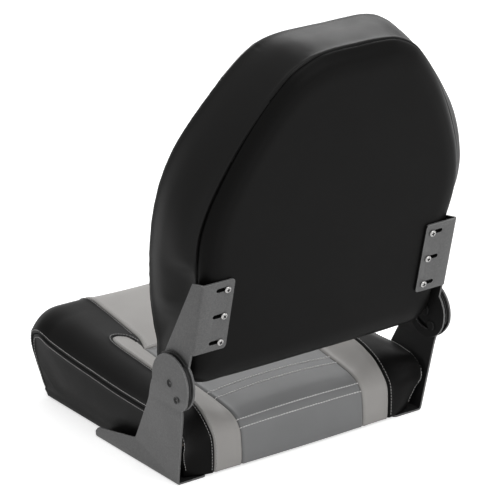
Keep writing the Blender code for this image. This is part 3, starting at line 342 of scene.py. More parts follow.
# %% Plastic, foam, wood and thread
def moulded_plastic(name, grey, roughness):
    made = Finish(name, roughness, specular=0.2)
    made.set(Base_Color=made.mix(made.noise(0.02, 3.0), shade(grey * 0.85), shade(grey * 1.15)))
    made.set(Roughness=made.noise(0.004, 2.0) * 0.15 + (roughness - 0.07))
    made.bump(made.noise(0.0012, 3.0), 0.00008, 0.6)
    return made.material


def cut_foam(name):
    made = Finish(name, 0.9)
    pores = made.cells(0.0011)
    made.set(Base_Color=made.mix(pores, shade(150, 12), shade(216, 12)))
    made.bump(pores, 0.0003)
    return made.material


def plywood_finish(name):
    made = Finish(name, 0.7)
    grain = made.node("ShaderNodeTexWave", {"wave_type": "BANDS", "bands_direction": "Z"}, {
        "Vector": made.object_coords, "Scale": 90.0, "Distortion": 6.0, "Detail": 2.0})
    made.set(Base_Color=made.mix(grain, (0.30, 0.18, 0.09, 1.0), (0.55, 0.38, 0.21, 1.0)))
    made.bump(grain, 0.0001, 0.5)
    return made.material


def thread_finish(name, grey):
    made = Finish(name, 0.6)
    twist = made.node("ShaderNodeTexWave", {"wave_type": "BANDS", "bands_direction": "DIAGONAL"}, {
        "Vector": made.object_coords, "Scale": 700.0, "Distortion": 1.0})
    made.set(Base_Color=made.mix(twist, shade(grey * 0.82, 1.0), shade(grey, 1.0)))
    made.bump(twist, 0.00008, 0.6)
    return made.material


BLACK_PLASTIC = moulded_plastic("black_washer_plastic", 14, 0.5)
BASE_PLASTIC = moulded_plastic("base_board_plastic", 34, 0.6)
FOAM = cut_foam("cushion_foam")
PLYWOOD = plywood_finish("backrest_plywood")
PALE_THREAD = thread_finish("pale_thread", 204)
WHITE_THREAD = thread_finish("white_thread", 248)
print("finishes", len(bpy.data.materials))

# %% [markdown]
# The covers follow smooth lines through the points of the part's own drawing. A line passes
# through each of its points, and its direction at a point is a mean of the two chords there,
# weighted so that uneven spacing doesn't make it swing out.

# %% Smooth lines
def smooth_line(points, places, closed=False):
    """Values of a smooth line at places, where place 2.5 is half way from point 2 to point 3."""
    p = np.asarray(points, float)
    flat = p.reshape(len(p), -1)
    if closed:
        before, after = np.roll(flat, 1, 0), np.roll(flat, -1, 0)
    else:
        before = np.vstack([2 * flat[:1] - flat[1:2], flat[:-1]])
        after = np.vstack([flat[1:], 2 * flat[-1:] - flat[-2:-1]])
    d0 = np.linalg.norm(flat - before, axis=1)[:, None] + 1e-12
    d1 = np.linalg.norm(after - flat, axis=1)[:, None] + 1e-12
    slope = ((flat - before) / d0 * d1 + (after - flat) / d1 * d0) / (d0 + d1)
    places = np.asarray(places, float)
    count = len(p)
    first = np.floor(places).astype(int)
    first = first % count if closed else np.clip(first, 0, count - 2)
    second = (first + 1) % count
    t = (places - np.floor(places) if closed else places - first)[:, None]
    h = d1[first]
    value = ((2 * t ** 3 - 3 * t ** 2 + 1) * flat[first] + (t ** 3 - 2 * t ** 2 + t) * h * slope[first]
             + (3 * t ** 2 - 2 * t ** 3) * flat[second] + (t ** 3 - t ** 2) * h * slope[second])
    return value.reshape((len(places),) + p.shape[1:])


def even_places(points, spacing, closed=False, dense=40):
    """Places along a smooth line about spacing apart."""
    count = len(points) if closed else len(points) - 1
    fine = np.linspace(0, count, count * dense + 1)
    line = smooth_line(points, fine % len(points) if closed else fine, closed)
    along = np.concatenate([[0], np.cumsum(np.linalg.norm(np.diff(line, axis=0), axis=1))])
    steps = max(2, round(along[-1] / spacing))
    return np.interp(np.linspace(0, along[-1], steps + 1), along, fine)


corner = smooth_line([(0, 0), (1, 0), (1, 1)], [0.5, 1.5])
print("a smooth line round a square corner goes through", corner.round(3).tolist())

# %% [markdown]
# The seat cushion is drawn by four profiles from the rear hem over the top to the front hem:
# at the middle, at the edge of the insert, on top of the bolster and at the side seam.
# Between them the surface swings up from the insert to the bolster and rounds over to the seam.

# %% Seat drawing
SEAT_WIDTH, SEAT_DEPTH, SEAT_HEIGHT, SEAT_BACK = 0.418, 0.417, 0.126, 0.189
BASE_TOP = 0.0123
SIDE_PILLOW = 0.003
INSERT_HALF, STRIPE_HALF, INSERT_SPREAD = 0.107, 0.154, 0.009
INSERT_LENGTH, STRIPE_TIP, FRONT_FIELD_HALF = 0.231, 0.269, 0.105
FRONT_TAPER = 0.20
SIDE_PROFILE = (
    (0.048, 0.000), (0.041, 0.098), (0.026, 0.259), (0.004, 0.427), (0.008, 0.545), (0.043, 0.632),
    (0.118, 0.672), (0.237, 0.672), (0.405, 0.688), (0.549, 0.720), (0.693, 0.751), (0.825, 0.799),
    (0.904, 0.836), (0.942, 0.771), (0.950, 0.609), (0.928, 0.371), (0.890, 0.098), (0.875, 0.000))
BOLSTER_PROFILE = (
    (0.019, 0.000), (0.017, 0.098), (0.017, 0.276), (0.026, 0.426), (0.050, 0.523), (0.089, 0.632),
    (0.153, 0.728), (0.261, 0.799), (0.405, 0.845), (0.549, 0.887), (0.693, 0.938), (0.837, 0.986),
    (0.933, 0.998), (0.974, 0.929), (0.986, 0.720), (0.966, 0.410), (0.923, 0.098), (0.909, 0.000))
INSERT_PROFILE = (
    (0.017, 0.000), (0.014, 0.098), (0.017, 0.276), (0.026, 0.418), (0.046, 0.505), (0.079, 0.561),
    (0.132, 0.601), (0.249, 0.656), (0.405, 0.724), (0.554, 0.789), (0.693, 0.873), (0.837, 0.956),
    (0.938, 0.984), (0.981, 0.915), (0.993, 0.706), (0.976, 0.402), (0.938, 0.098), (0.923, 0.000))
CENTRE_PROFILE = (
    (0.014, 0.000), (0.012, 0.098), (0.014, 0.276), (0.022, 0.435), (0.043, 0.529), (0.079, 0.592),
    (0.132, 0.641), (0.249, 0.696), (0.405, 0.757), (0.554, 0.808), (0.693, 0.877), (0.837, 0.942),
    (0.940, 0.961), (0.983, 0.896), (0.998, 0.706), (0.981, 0.402), (0.942, 0.098), (0.928, 0.000))
HALF_WIDTHS = (0.947, 0.959, 0.986, 1.000, 1.000, 1.000, 1.000, 1.000, 1.000, 1.000, 1.000, 1.000, 0.995,
               0.981, 0.971, 0.962, 0.947, 0.938)
INSERT_COLUMN, BOLSTER_COLUMN, SHOULDER = 0.51, 0.74, 2.3
LAST = len(HALF_WIDTHS) - 1

PROFILES = (CENTRE_PROFILE, INSERT_PROFILE, BOLSTER_PROFILE, SIDE_PROFILE)
WIDTH_SCALE = 0.05
seat_table = np.hstack([np.array(profile) for profile in PROFILES] + [np.array(HALF_WIDTHS)[:, None]])
profile_scale = np.array([SEAT_DEPTH, SEAT_HEIGHT] * len(PROFILES) + [WIDTH_SCALE])


def seat_rows(places):
    """The four profiles and the half width at places along the profile."""
    return smooth_line(seat_table * profile_scale, places) / profile_scale


def seat_points(rows, share):
    """Points of the seat's wrap, from rows of seat_rows and shares from -1 to 1 across."""
    centre, insert, bolster, side = (rows[..., k:k + 2] for k in (0, 2, 4, 6))
    s = np.abs(share)[..., None]
    inner = centre + (insert - centre) * (s / INSERT_COLUMN) ** 2
    t = np.clip((s - INSERT_COLUMN) / (BOLSTER_COLUMN - INSERT_COLUMN), 0, 1)
    swing = insert + (bolster - insert) * t * t * (3 - 2 * t)
    t = np.clip((s - BOLSTER_COLUMN) / (1 - BOLSTER_COLUMN), 0, 1)
    outer = bolster + (side - bolster) * t ** SHOULDER
    place = np.where(s <= INSERT_COLUMN, inner, np.where(s <= BOLSTER_COLUMN, swing, outer))
    x = share * rows[..., 8] * SEAT_WIDTH / 2
    return np.stack([x, SEAT_BACK - place[..., 0] * SEAT_DEPTH, place[..., 1] * SEAT_HEIGHT], axis=-1)


def colour_edge(y):
    """Half width of the insert and of the front field at a place along the seat."""
    distance = SEAT_BACK - np.asarray(y, float)
    wide = INSERT_HALF + INSERT_SPREAD
    behind = INSERT_HALF + INSERT_SPREAD * np.clip(distance / INSERT_LENGTH, 0, None) ** 2
    share = np.clip((distance - INSERT_LENGTH) / (SEAT_DEPTH - INSERT_LENGTH) / FRONT_TAPER, 0, 1)
    return np.where(distance <= INSERT_LENGTH, behind,
                    wide + (FRONT_FIELD_HALF - wide) * np.sin(share * math.pi / 2))


print("seat drawing: four profiles of", len(seat_table), "points, scaled by", profile_scale[:2])

# %% [markdown]
# The mesh of the seat has rows across and columns along. The columns are moved so that one of
# them runs exactly under each long colour seam, and they lie closer together next to a seam,
# because that is where the cover dips.

# %% Seat grid
ROW_SPACING, COLUMN_SPACING = 0.0026, 0.0030
NEAR_SEAM = (0.0, 0.0008, 0.0017, 0.0028, 0.0042, 0.0062, 0.0086)


def graded(length, spacing, start, end):
    """Shares from 0 to 1 of a length, closer together at a seam at its start or end."""
    low = [d for d in NEAR_SEAM if d < length / 2] if start else [0.0]
    high = [length - d for d in NEAR_SEAM if d < length / 2][::-1] if end else [length]
    steps = max(1, round((high[0] - low[-1]) / spacing))
    middle = np.linspace(low[-1], high[0], steps + 1)[1:-1]
    return np.array(low + list(middle) + high) / length


# How wide the insert, a stripe and a bolster about are, and if a seam is at the start and at the end
SEGMENTS = ((0.110, False, True), (0.044, True, True), (0.062, True, True))


def seat_columns():
    """Column positions as a segment's number and a share in it."""
    half = []
    for number, (length, start, end) in enumerate(SEGMENTS):
        shares = graded(length, COLUMN_SPACING, start, end)
        half += [number + share for share in shares[min(number, 1):]]
    return np.array(half)


QUILT_ROWS = (3.08, 3.98, 6.32, 6.67, 7.51, 7.74)
QUILT_LEVELS = (-0.0022, -0.0010, 0.0, 0.0010, 0.0022)


def with_quilt_rows(places):
    """Rows, with some of them moved to lie under and beside the quilting stitches."""
    line = seat_rows(places)[:, :2] * (SEAT_DEPTH, SEAT_HEIGHT)
    along = np.concatenate([[0], np.cumsum(np.linalg.norm(np.diff(line, axis=0), axis=1))])
    extra = [np.interp(np.interp(row, places, along) + level, along, places)
             for row in QUILT_ROWS for level in QUILT_LEVELS]
    gap = np.interp(places, places[:-1], np.diff(places)) * 0.45
    kept = [p for p, g in zip(places, gap) if min(abs(p - e) for e in extra) > g]
    return np.array(sorted(kept + extra))


def seat_grid():
    """Rows, columns and points of the wrap. Where a column lies depends on how far back it is, and
    the other way round, so its place is worked out a few times over."""
    profile = np.array(BOLSTER_PROFILE) * (SEAT_DEPTH, SEAT_HEIGHT)
    rows_at = with_quilt_rows(even_places(profile, ROW_SPACING))
    rows = seat_rows(rows_at)[:, None, :]
    half = seat_columns()
    columns = np.concatenate([-half[:0:-1], half])
    share = np.broadcast_to(columns / 3, (len(rows), len(columns))).copy()
    segment, inside = np.floor(np.abs(columns)), np.abs(columns) % 1
    segment, inside = np.where(segment == 3, 2, segment), np.where(segment == 3, 1.0, inside)
    half_width = rows[..., 8] * SEAT_WIDTH / 2
    for _ in range(4):
        y = seat_points(rows, share)[..., 1]
        knots = [np.zeros_like(y), colour_edge(y) / half_width, STRIPE_HALF / half_width + 0 * y,
                 np.ones_like(y)]
        size = np.zeros_like(y)
        for k in range(3):
            size += np.where(segment == k, knots[k] + (knots[k + 1] - knots[k]) * inside, 0)
        share = np.sign(columns) * size
    return rows_at, columns, seat_points(rows, share)


rows_at, columns, wrap = seat_grid()
print("seat wrap grid", wrap.shape)

# %% [markdown]
# The sides of the cushion hang from its upper edge to the hem under the base, and swell a little
# between. The bolster's cover comes over the edge, and the sewn seam lies just below it.

# %% Seat sides
SIDE_SEAM, SIDE_HEIGHT, BELOW_SEAM, SIDE_STEPS = 0.068, 0.085, 0.014, 22
HEM_SHARES = (0.33, 0.66, 1.0)
SIDES = {"left": 1, "right": -1}
side_rows = np.unique(np.round(np.concatenate([
    [0.0], SIDE_SEAM - np.array(NEAR_SEAM[:6]) / SIDE_HEIGHT, SIDE_SEAM + np.array(NEAR_SEAM) / SIDE_HEIGHT,
    np.linspace(SIDE_SEAM + BELOW_SEAM / SIDE_HEIGHT, 1.0, SIDE_STEPS)]), 6))
side_rows = side_rows[side_rows >= 0]


def side_grid(sign):
    """Grid of a side: rows down from the edge, columns from the rear to the front."""
    seam_at = rows_at[(rows_at >= 1) & (rows_at <= LAST - 1)]
    seam_at = np.unique(np.concatenate([[1.0], seam_at, [LAST - 1.0]]))
    seam = seat_points(seat_rows(seam_at), np.full(len(seam_at), sign * 1.0))
    share = ((seam_at - 1) / (LAST - 2))[:, None]
    foot = seam[0] + (seam[-1] - seam[0]) * share
    ends = seat_points(seat_rows(np.array([0.0, LAST])), np.full(2, sign * 1.0))
    hem = ends[0] + (ends[1] - ends[0]) * share
    tall = np.clip(np.linalg.norm(seam - foot, axis=1) / SIDE_HEIGHT, 0, 1)
    rows = []
    for t in side_rows:
        row = seam + (foot - seam) * t
        row[:, 0] += sign * SIDE_PILLOW * 4 * t * (1 - t) * tall
        rows.append(row)
    for t in HEM_SHARES:
        rows.append(foot + (hem - foot) * t)
    return np.array(rows)


side_panels = {side: side_grid(sign) for side, sign in SIDES.items()}
print("side panel grid", side_panels["left"].shape)

# %% [markdown]
# A panel's edge can cross the grid, as at the round tip of the stripe. Cutting a mesh along a
# curve is done with a number at each point: the number is the signed distance to the curve, so
# each edge whose ends differ in sign is split where the number is zero, and each face is split
# between the new points.

# %% Cutting along a curve
SNAP = 0.0002


def grid_mesh(points, flip=False):
    """bmesh of a grid of points, with its quads facing up from rows crossed with columns."""
    made = bmesh.new()
    count = points.shape[1]
    verts = [made.verts.new(p) for p in points.reshape(-1, 3)]
    for i in range(points.shape[0] - 1):
        for j in range(count - 1):
            face = [verts[i * count + j], verts[i * count + j + 1], verts[(i + 1) * count + j + 1],
                    verts[(i + 1) * count + j]]
            made.faces.new(face[::-1] if flip else face)
    bmesh.ops.remove_doubles(made, verts=made.verts, dist=1e-7)
    return made


def points_of(made):
    return np.array([v.co for v in made.verts], float).reshape(-1, 3)


def cut_along(made, field, levels, allowed=None):
    """Split the faces along the curves where field(points) is equal to each level."""
    for level in levels:
        values = field(points_of(made)) - level
        values[np.abs(values) < SNAP] = 0.0
        number = {v: value for v, value in zip(made.verts, values)}
        crossed = [e for e in made.edges if number[e.verts[0]] * number[e.verts[1]] < 0
                   and (allowed is None or allowed(e))]
        fresh = set(v for v in made.verts if number[v] == 0.0)
        for edge in crossed:
            a, b = edge.verts
            share = number[a] / (number[a] - number[b])
            _, vert = bmesh.utils.edge_split(edge, a, share)
            number[vert] = 0.0
            fresh.add(vert)
        faces = {f for v in fresh for f in v.link_faces}
        for face in list(faces):
            ends = [v for v in face.verts if v in fresh]
            if len(ends) == 2 and not made.edges.get(ends):
                bmesh.utils.face_split(face, ends[0], ends[1])
    made.verts.index_update()


def distance_to(line, points):
    """Distance from points to a line of straight pieces, in plan."""
    a, b = line[:-1], line[1:]
    best = np.full(len(points), 1e9)
    for start, end in zip(a, b):
        along = end - start
        t = np.clip(((points - start) @ along) / (along @ along), 0, 1)
        best = np.minimum(best, np.linalg.norm(points - start - t[:, None] * along, axis=1))
    return best


print("a point within", SNAP, "m of a cut counts as on it")

# %% [markdown]
# The stripe ends in a blunt round tip that points forward. Its edge, the seam between the insert
# and the front panel, and the quilted lines over the insert are drawn in plan or across the cover.

# %% Colour seams of the seat
TIP_SHAPE = (
    (0.00, 0.42), (0.02, 0.30), (0.07, 0.14), (0.15, 0.04), (0.27, 0.005), (0.40, 0.00), (0.65, 0.03),
    (0.78, 0.085), (0.86, 0.16), (0.93, 0.29), (0.97, 0.46), (0.99, 0.72), (1.00, 1.00))
PARTING = SEAT_BACK - INSERT_LENGTH
TIP = SEAT_BACK - STRIPE_TIP
SEAM_LEVELS = (-0.0034, -0.0018, -0.0008, 0.0, 0.0008, 0.0018, 0.0034)

tip_start = float(colour_edge(PARTING))
tip_width = STRIPE_HALF - tip_start
tip_line = np.array([(tip_start + tip_width * a, TIP + tip_width * b) for a, b in TIP_SHAPE])
tip_line = smooth_line(tip_line, np.linspace(0, len(tip_line) - 1, 61))
tip_top = tip_line[-1, 1]


def beyond_tip(points):
    """Signed distance ahead of the stripe's tip: positive outside the stripe."""
    flat = np.stack([np.abs(points[:, 0]), points[:, 1]], axis=1)
    edge = np.vstack([tip_line, [[STRIPE_HALF, SEAT_BACK]]])
    near = distance_to(edge, flat)
    limit = np.interp(flat[:, 0], tip_line[:, 0], tip_line[:, 1], left=PARTING, right=1.0)
    return np.where(flat[:, 1] > limit, -near, near)


def ahead_of_parting(points):
    return PARTING - points[:, 1]


seat_mesh = grid_mesh(wrap, flip=True)


def near_tip(edge):
    place = (edge.verts[0].co + edge.verts[1].co) / 2
    return (abs(place.x) > float(colour_edge(place.y)) - 1e-5 and TIP - 0.008 < place.y < tip_top
            and abs(place.x) < STRIPE_HALF + 0.006 and place.z > SEAT_HEIGHT / 2)


def near_parting(edge):
    place = (edge.verts[0].co + edge.verts[1].co) / 2
    return abs(place.y - PARTING) < 0.01 and abs(place.x) < float(colour_edge(place.y)) + 1e-5


cut_along(seat_mesh, ahead_of_parting, SEAM_LEVELS, near_parting)
cut_along(seat_mesh, beyond_tip, SEAM_LEVELS, near_tip)
print("seat mesh", len(seat_mesh.verts), "points", len(seat_mesh.faces), "faces")

# %% [markdown]
# A cover is sewn from panels of one colour each. The mesh of the seat is now cut up along its
# seams: each face gets the name of the panel that its middle lies in, and the faces of one name
# become a patch. The bolster's panel also comes over the edge, down to the seam on the side.

# %% Panels of the seat
def seat_panel_of(face):
    """Name of the panel that a face of the seat's wrap belongs to."""
    x, y = face.calc_center_median().xy
    if abs(x) < float(colour_edge(y)):
        return "insert" if y > PARTING else "front"
    side = "left" if x > 0 else "right"
    if abs(x) < STRIPE_HALF:
        flat = np.array([[x, y, 0.0]])
        if y > tip_top or (y > TIP - 0.001 and beyond_tip(flat)[0] < 0):
            return "stripe_" + side
    return "bolster_" + side


class Patch:
    """Faces of one panel, with their points at rest, before padding and seams move them."""

    def __init__(self, name, points, faces):
        self.name, self.faces = name, faces
        self.points = np.array(points, float)


def patches_of(made, label):
    """Split a bmesh into patches by a name given to each face."""
    made.verts.index_update()
    everything = points_of(made)
    grouped = {}
    for face in made.faces:
        grouped.setdefault(label(face), []).append([v.index for v in face.verts])
    made_patches = []
    for name, faces in sorted(grouped.items()):
        used = sorted({i for face in faces for i in face})
        index = {old: new for new, old in enumerate(used)}
        made_patches.append(Patch(name, everything[used], [[index[i] for i in face] for face in faces]))
    return made_patches


seat_patches = patches_of(seat_mesh, seat_panel_of)
seat_mesh.free()


def joined(name, first, second):
    """One patch of two, with the points that they share merged."""
    keys, points, faces = {}, [], []
    for patch in (first, second):
        index = []
        for point in patch.points:
            key = tuple(np.round(point, 6))
            if key not in keys:
                keys[key] = len(points)
                points.append(point)
            index.append(keys[key])
        faces += [[index[i] for i in face] for face in patch.faces]
    return Patch(name, points, faces)


seam_row = int(np.argmin(np.abs(side_rows - SIDE_SEAM)))
for side, sign in SIDES.items():
    grid = side_panels[side]
    for name, rows in (("over_edge", grid[:seam_row + 1]), ("side_" + side, grid[seam_row:])):
        panel_mesh = grid_mesh(rows, flip=sign < 0)
        seat_patches += patches_of(panel_mesh, lambda f: name)
        panel_mesh.free()
    over_edge = next(p for p in seat_patches if p.name == "over_edge")
    bolster = next(p for p in seat_patches if p.name == "bolster_" + side)
    seat_patches = [p for p in seat_patches if p not in (over_edge, bolster)]
    seat_patches.append(joined("bolster_" + side, bolster, over_edge))
print("seat panels", [(p.name, len(p.faces)) for p in seat_patches])

# %% [markdown]
# The backrest is drawn by loops that run round it: the rear seam, two loops over the side band
# and the front edge. Smaller and smaller copies of the rear seam and of the front edge carry the
# surface on to the middle of the rear and of the front. The whole backrest leans back.

# %% Backrest drawing
PIVOT = Vector((0.0, 0.1835, 0.1554))
LEAN = math.radians(12.3)
HINGE_SETBACK = 0.0279
BACK_WIDTH, BACK_HEIGHT, BACK_DROP = 0.497, 0.5095, 0.0287
BACK_FACE, REAR_SEAM_DEPTH, FRONT_EDGE_DEPTH, FRONT_CROWN = 0.0033, 0.0205, 0.100, 0.011
REAR_SEAM = (
    (0.000, 0.039), (0.362, 0.039), (0.604, 0.041), (0.765, 0.047), (0.825, 0.071), (0.845, 0.112),
    (0.850, 0.200), (0.853, 0.290), (0.860, 0.380), (0.878, 0.440), (0.882, 0.510), (0.849, 0.593),
    (0.789, 0.671), (0.704, 0.758), (0.616, 0.832), (0.515, 0.901), (0.410, 0.954), (0.334, 0.975),
    (0.258, 0.989), (0.141, 0.995), (0.000, 0.995))
BULGE = (
    (0.000, 0.026), (0.362, 0.026), (0.610, 0.029), (0.770, 0.037), (0.838, 0.065), (0.852, 0.114),
    (0.856, 0.192), (0.862, 0.285), (0.868, 0.378), (0.930, 0.440), (0.942, 0.515), (0.904, 0.597),
    (0.840, 0.674), (0.743, 0.758), (0.644, 0.830), (0.532, 0.898), (0.422, 0.952), (0.350, 0.975),
    (0.268, 0.989), (0.145, 0.996), (0.000, 0.997))
MIDDLE = (
    (0.000, 0.010), (0.362, 0.010), (0.620, 0.014), (0.780, 0.026), (0.840, 0.058), (0.854, 0.112),
    (0.862, 0.180), (0.930, 0.280), (0.968, 0.370), (0.986, 0.440), (0.990, 0.514), (0.962, 0.611),
    (0.899, 0.691), (0.791, 0.771), (0.674, 0.843), (0.549, 0.906), (0.432, 0.955), (0.366, 0.974),
    (0.290, 0.987), (0.150, 0.994), (0.000, 0.995))
FRONT_EDGE = (
    (0.000, 0.000), (0.362, 0.000), (0.640, 0.004), (0.790, 0.018), (0.850, 0.050), (0.864, 0.112),
    (0.895, 0.171), (0.944, 0.280), (0.967, 0.370), (0.977, 0.440), (0.976, 0.514), (0.950, 0.619),
    (0.893, 0.700), (0.798, 0.776), (0.680, 0.848), (0.554, 0.908), (0.440, 0.946), (0.380, 0.960),
    (0.300, 0.971), (0.152, 0.980), (0.000, 0.983))
FRONT_DEPTHS = (
    (0.00, 0.80), (0.03, 0.82), (0.11, 0.88), (0.17, 0.92), (0.29, 0.95), (0.41, 0.98), (0.52, 1.00),
    (1.00, 1.00))
BULGE_DEPTHS = (
    (0.00, 0.29), (0.03, 0.29), (0.07, 0.50), (0.114, 0.66), (0.192, 0.53), (0.285, 0.39),
    (0.378, 0.29), (1.00, 0.29))
REAR_RINGS = ((0.0, 0.0), (0.030, 0.56), (0.075, 0.87), (0.145, 1.00), (0.30, 1.0))
FRONT_RINGS = ((0.0, 0.0), (0.05, 0.50), (0.16, 0.88), (0.50, 1.00), (1.0, 1.0))


def leaning(x, depth, rise):
    """Points of the backrest: depth forward from the brackets' rear face, rise from the pivot."""
    reach = depth - HINGE_SETBACK
    return np.stack([x, PIVOT.y - reach * math.cos(LEAN) + rise * math.sin(LEAN),
                     PIVOT.z + reach * math.sin(LEAN) + rise * math.cos(LEAN)], axis=-1)


def whole_loop(half):
    """All round the backrest from the half outline's shares, from the middle of the lower edge."""
    half = np.array(half)
    return np.vstack([half, half[-2:0:-1] * (-1, 1)])


def depth_of(table, share):
    """Depth at shares of the height: half way between straight and eased steps through a table."""
    places, depths = np.array(table).T
    at = np.clip(share, places[0], places[-1])
    k = np.clip(np.searchsorted(places, at, side="right") - 1, 0, len(places) - 2)
    t = (at - places[k]) / (places[k + 1] - places[k])
    eased = depths[k] + (depths[k + 1] - depths[k]) * t * t * (3 - 2 * t)
    return (np.interp(at, places, depths) * 0.5 + 0.5 * eased) * FRONT_EDGE_DEPTH


print("backrest leans back", round(math.degrees(LEAN), 1), "degrees")

# %% [markdown]
# Each drawn outline becomes a loop of evenly spaced points all round the backrest. Drawn in
# towards its middle it gives the next row of the rear or of the front, as the rings of a map
# show a hill. The two upper corners of the front stand a little fuller than the solid does,
# because the stuffing is pushed into them before the cover is closed.

# %% Loops round the backrest
ROUND_SPACING = 0.0034
half_size = BACK_WIDTH / 2
middle_loop = whole_loop(MIDDLE) * (half_size, BACK_HEIGHT)
back_places = even_places(middle_loop, ROUND_SPACING, closed=True)[:-1]
CORNER_AT, CORNER_REACH = (0.40, 0.945), (0.26, 0.13)
CORNER_DEEPER, CORNER_WIDER = 0.006, 0.003


def loop_at(shares, shrink=0.0):
    """Across and up positions of a loop all round, drawn in towards its middle by a share."""
    outline = smooth_line(whole_loop(shares) * (half_size, BACK_HEIGHT), back_places, closed=True)
    outline[:, 1] -= BACK_DROP
    middle = (outline[:, 1].min() + outline[:, 1].max()) / 2
    return np.stack([outline[:, 0] * (1 - shrink), middle + (outline[:, 1] - middle) * (1 - shrink)],
                    axis=1)


def height_share(outline):
    return (outline[:, 1] + BACK_DROP) / BACK_HEIGHT


def fullness(outline):
    """Share of the upper corners' fullness at points of a loop."""
    across = (np.abs(outline[:, 0]) / half_size - CORNER_AT[0]) / CORNER_REACH[0]
    up = (height_share(outline) - CORNER_AT[1]) / CORNER_REACH[1]
    return np.exp(-across ** 2 - up ** 2)


def fuller(outline, depth, share=1.0):
    """Loop and depth with the upper corners pushed out and forward by a share of their fullness."""
    much = fullness(outline) * share
    away = outline - (0.0, BACK_HEIGHT * 0.45)
    away /= np.linalg.norm(away, axis=1)[:, None]
    return outline + away * (much * CORNER_WIDER)[:, None], depth + much * CORNER_DEEPER


print("points round the backrest", len(back_places))

# %% [markdown]
# The rear, the side band and the front are three grids of such loops. The rear falls quickly from
# its seam to the flat of the board, and the front swells over its crown. The side band is drawn
# smoothly over four loops: the rear seam, the bulge by the hinges, the middle and the front edge.

# %% Grids of the backrest
REAR_SPACING, FRONT_SPACING, BAND_SPACING = 0.0060, 0.0050, 0.0034
LAST_RING = 0.985


def ring_share(rings, shrink):
    """Share of its whole depth that a surface has reached where its loop has drawn in by shrink."""
    fine = np.linspace(0, len(rings) - 1, 400)
    place = float(np.interp(shrink, smooth_line(rings, fine)[:, 0], fine))
    return min(1.0, smooth_line(rings, [place])[0, 1])


def rear_row(shrink):
    outline = loop_at(REAR_SEAM, shrink)
    depth = REAR_SEAM_DEPTH + (BACK_FACE - REAR_SEAM_DEPTH) * ring_share(REAR_RINGS, shrink)
    return leaning(outline[:, 0], depth, outline[:, 1])


def front_row(shrink):
    outline = loop_at(FRONT_EDGE, shrink)
    share = ring_share(FRONT_RINGS, shrink)
    depth = depth_of(FRONT_DEPTHS, height_share(outline)) + FRONT_CROWN * share
    outline, depth = fuller(outline, depth, 1 - share)
    return leaning(outline[:, 0], depth, outline[:, 1])


def band_loop(shares, depth_at, full):
    """A loop of the side band, whose depth goes with the height; full is the corners' fullness."""
    outline = loop_at(shares)
    outline, depth = fuller(outline, depth_at(height_share(outline)), full)
    return leaning(outline[:, 0], depth, outline[:, 1])


def boxing_rows(spacing):
    """Rows of the side band from the rear seam to the front edge."""
    def bulge(at):
        return depth_of(BULGE_DEPTHS, at)

    def front(at):
        return depth_of(FRONT_DEPTHS, at)

    loops = np.array([
        band_loop(REAR_SEAM, lambda at: np.full(len(at), REAR_SEAM_DEPTH), 0.0),
        band_loop(BULGE, bulge, 0.0),
        band_loop(MIDDLE, lambda at: (bulge(at) + front(at)) / 2, 0.5),
        band_loop(FRONT_EDGE, front, 1.0)])
    length = np.linalg.norm(np.diff(loops, axis=0), axis=2).sum(0).mean()
    places = graded(length, spacing, True, True) * 3
    return np.stack([smooth_line(across, places) for across in loops.swapaxes(0, 1)], axis=1)


rear_shrinks = list(graded(half_size, REAR_SPACING, True, False)[:-1]) + [LAST_RING]
front_shrinks = list(graded(half_size, FRONT_SPACING, True, False)[:-1]) + [LAST_RING]
rear_grid = np.array([rear_row(shrink) for shrink in rear_shrinks])
boxing_grid = boxing_rows(BAND_SPACING)
front_grid = np.array([front_row(shrink) for shrink in front_shrinks])
print("backrest grids", rear_grid.shape, boxing_grid.shape, front_grid.shape)

# %% [markdown]
# The rear and the side band are one panel each. The front is cut as the seat is, into an insert
# between two stripes and a dark panel at each side, and also along its eight rows of quilting,
# so that the cover can dip under them.

# %% Panels of the backrest
def ring_mesh(grid, flip=False, closed_middle=False):
    """bmesh of rows that are closed loops; the last row may be filled as the middle."""
    made = grid_mesh(np.concatenate([grid, grid[:, :1]], axis=1), flip)
    if closed_middle:
        centre = Vector(grid[-1].mean(axis=0))
        radius = max((Vector(point) - centre).length for point in grid[-1]) * 1.05
        inner = [e for e in made.edges
                 if e.is_boundary and all((v.co - centre).length < radius for v in e.verts)]
        bmesh.ops.contextual_create(made, geom=inner)
        fan = [f for f in made.faces if len(f.verts) > 4]
        bmesh.ops.poke(made, faces=fan)
    return made


BACK_QUILT = tuple(rise + step for rise in (0.085, 0.155, 0.225, 0.295) for step in (-0.005, 0.005))
UPWARD = leaning(0.0, 0.0, 1.0) - leaning(0.0, 0.0, 0.0)


def rise_of(points):
    """How far up the lean points of the backrest are from the pivot."""
    return (points - leaning(0.0, HINGE_SETBACK, 0.0)) @ UPWARD


def on_back_insert(edge):
    return max(abs(v.co.x) for v in edge.verts) < INSERT_HALF + 1e-5


def front_panel_of(face):
    x = face.calc_center_median().x
    if abs(x) < INSERT_HALF:
        return "back_insert"
    return ("back_stripe_" if abs(x) < STRIPE_HALF else "back_bolster_") + ("left" if x > 0 else "right")


back_patches = []
for name, grid, flip in (("back_rear", rear_grid, True), ("back_boxing", boxing_grid, False)):
    panel_mesh = ring_mesh(grid, flip, closed_middle=name == "back_rear")
    back_patches += patches_of(panel_mesh, lambda f: name)
    panel_mesh.free()
panel_mesh = ring_mesh(front_grid, False, closed_middle=True)
for half in (INSERT_HALF, STRIPE_HALF):
    cut_along(panel_mesh, lambda points: np.abs(points[:, 0]) - half, SEAM_LEVELS)
for rise in BACK_QUILT:
    cut_along(panel_mesh, lambda points: rise_of(points) - rise, QUILT_LEVELS, on_back_insert)
back_patches += patches_of(panel_mesh, front_panel_of)
panel_mesh.free()
print("backrest panels", [(p.name, len(p.faces)) for p in back_patches])

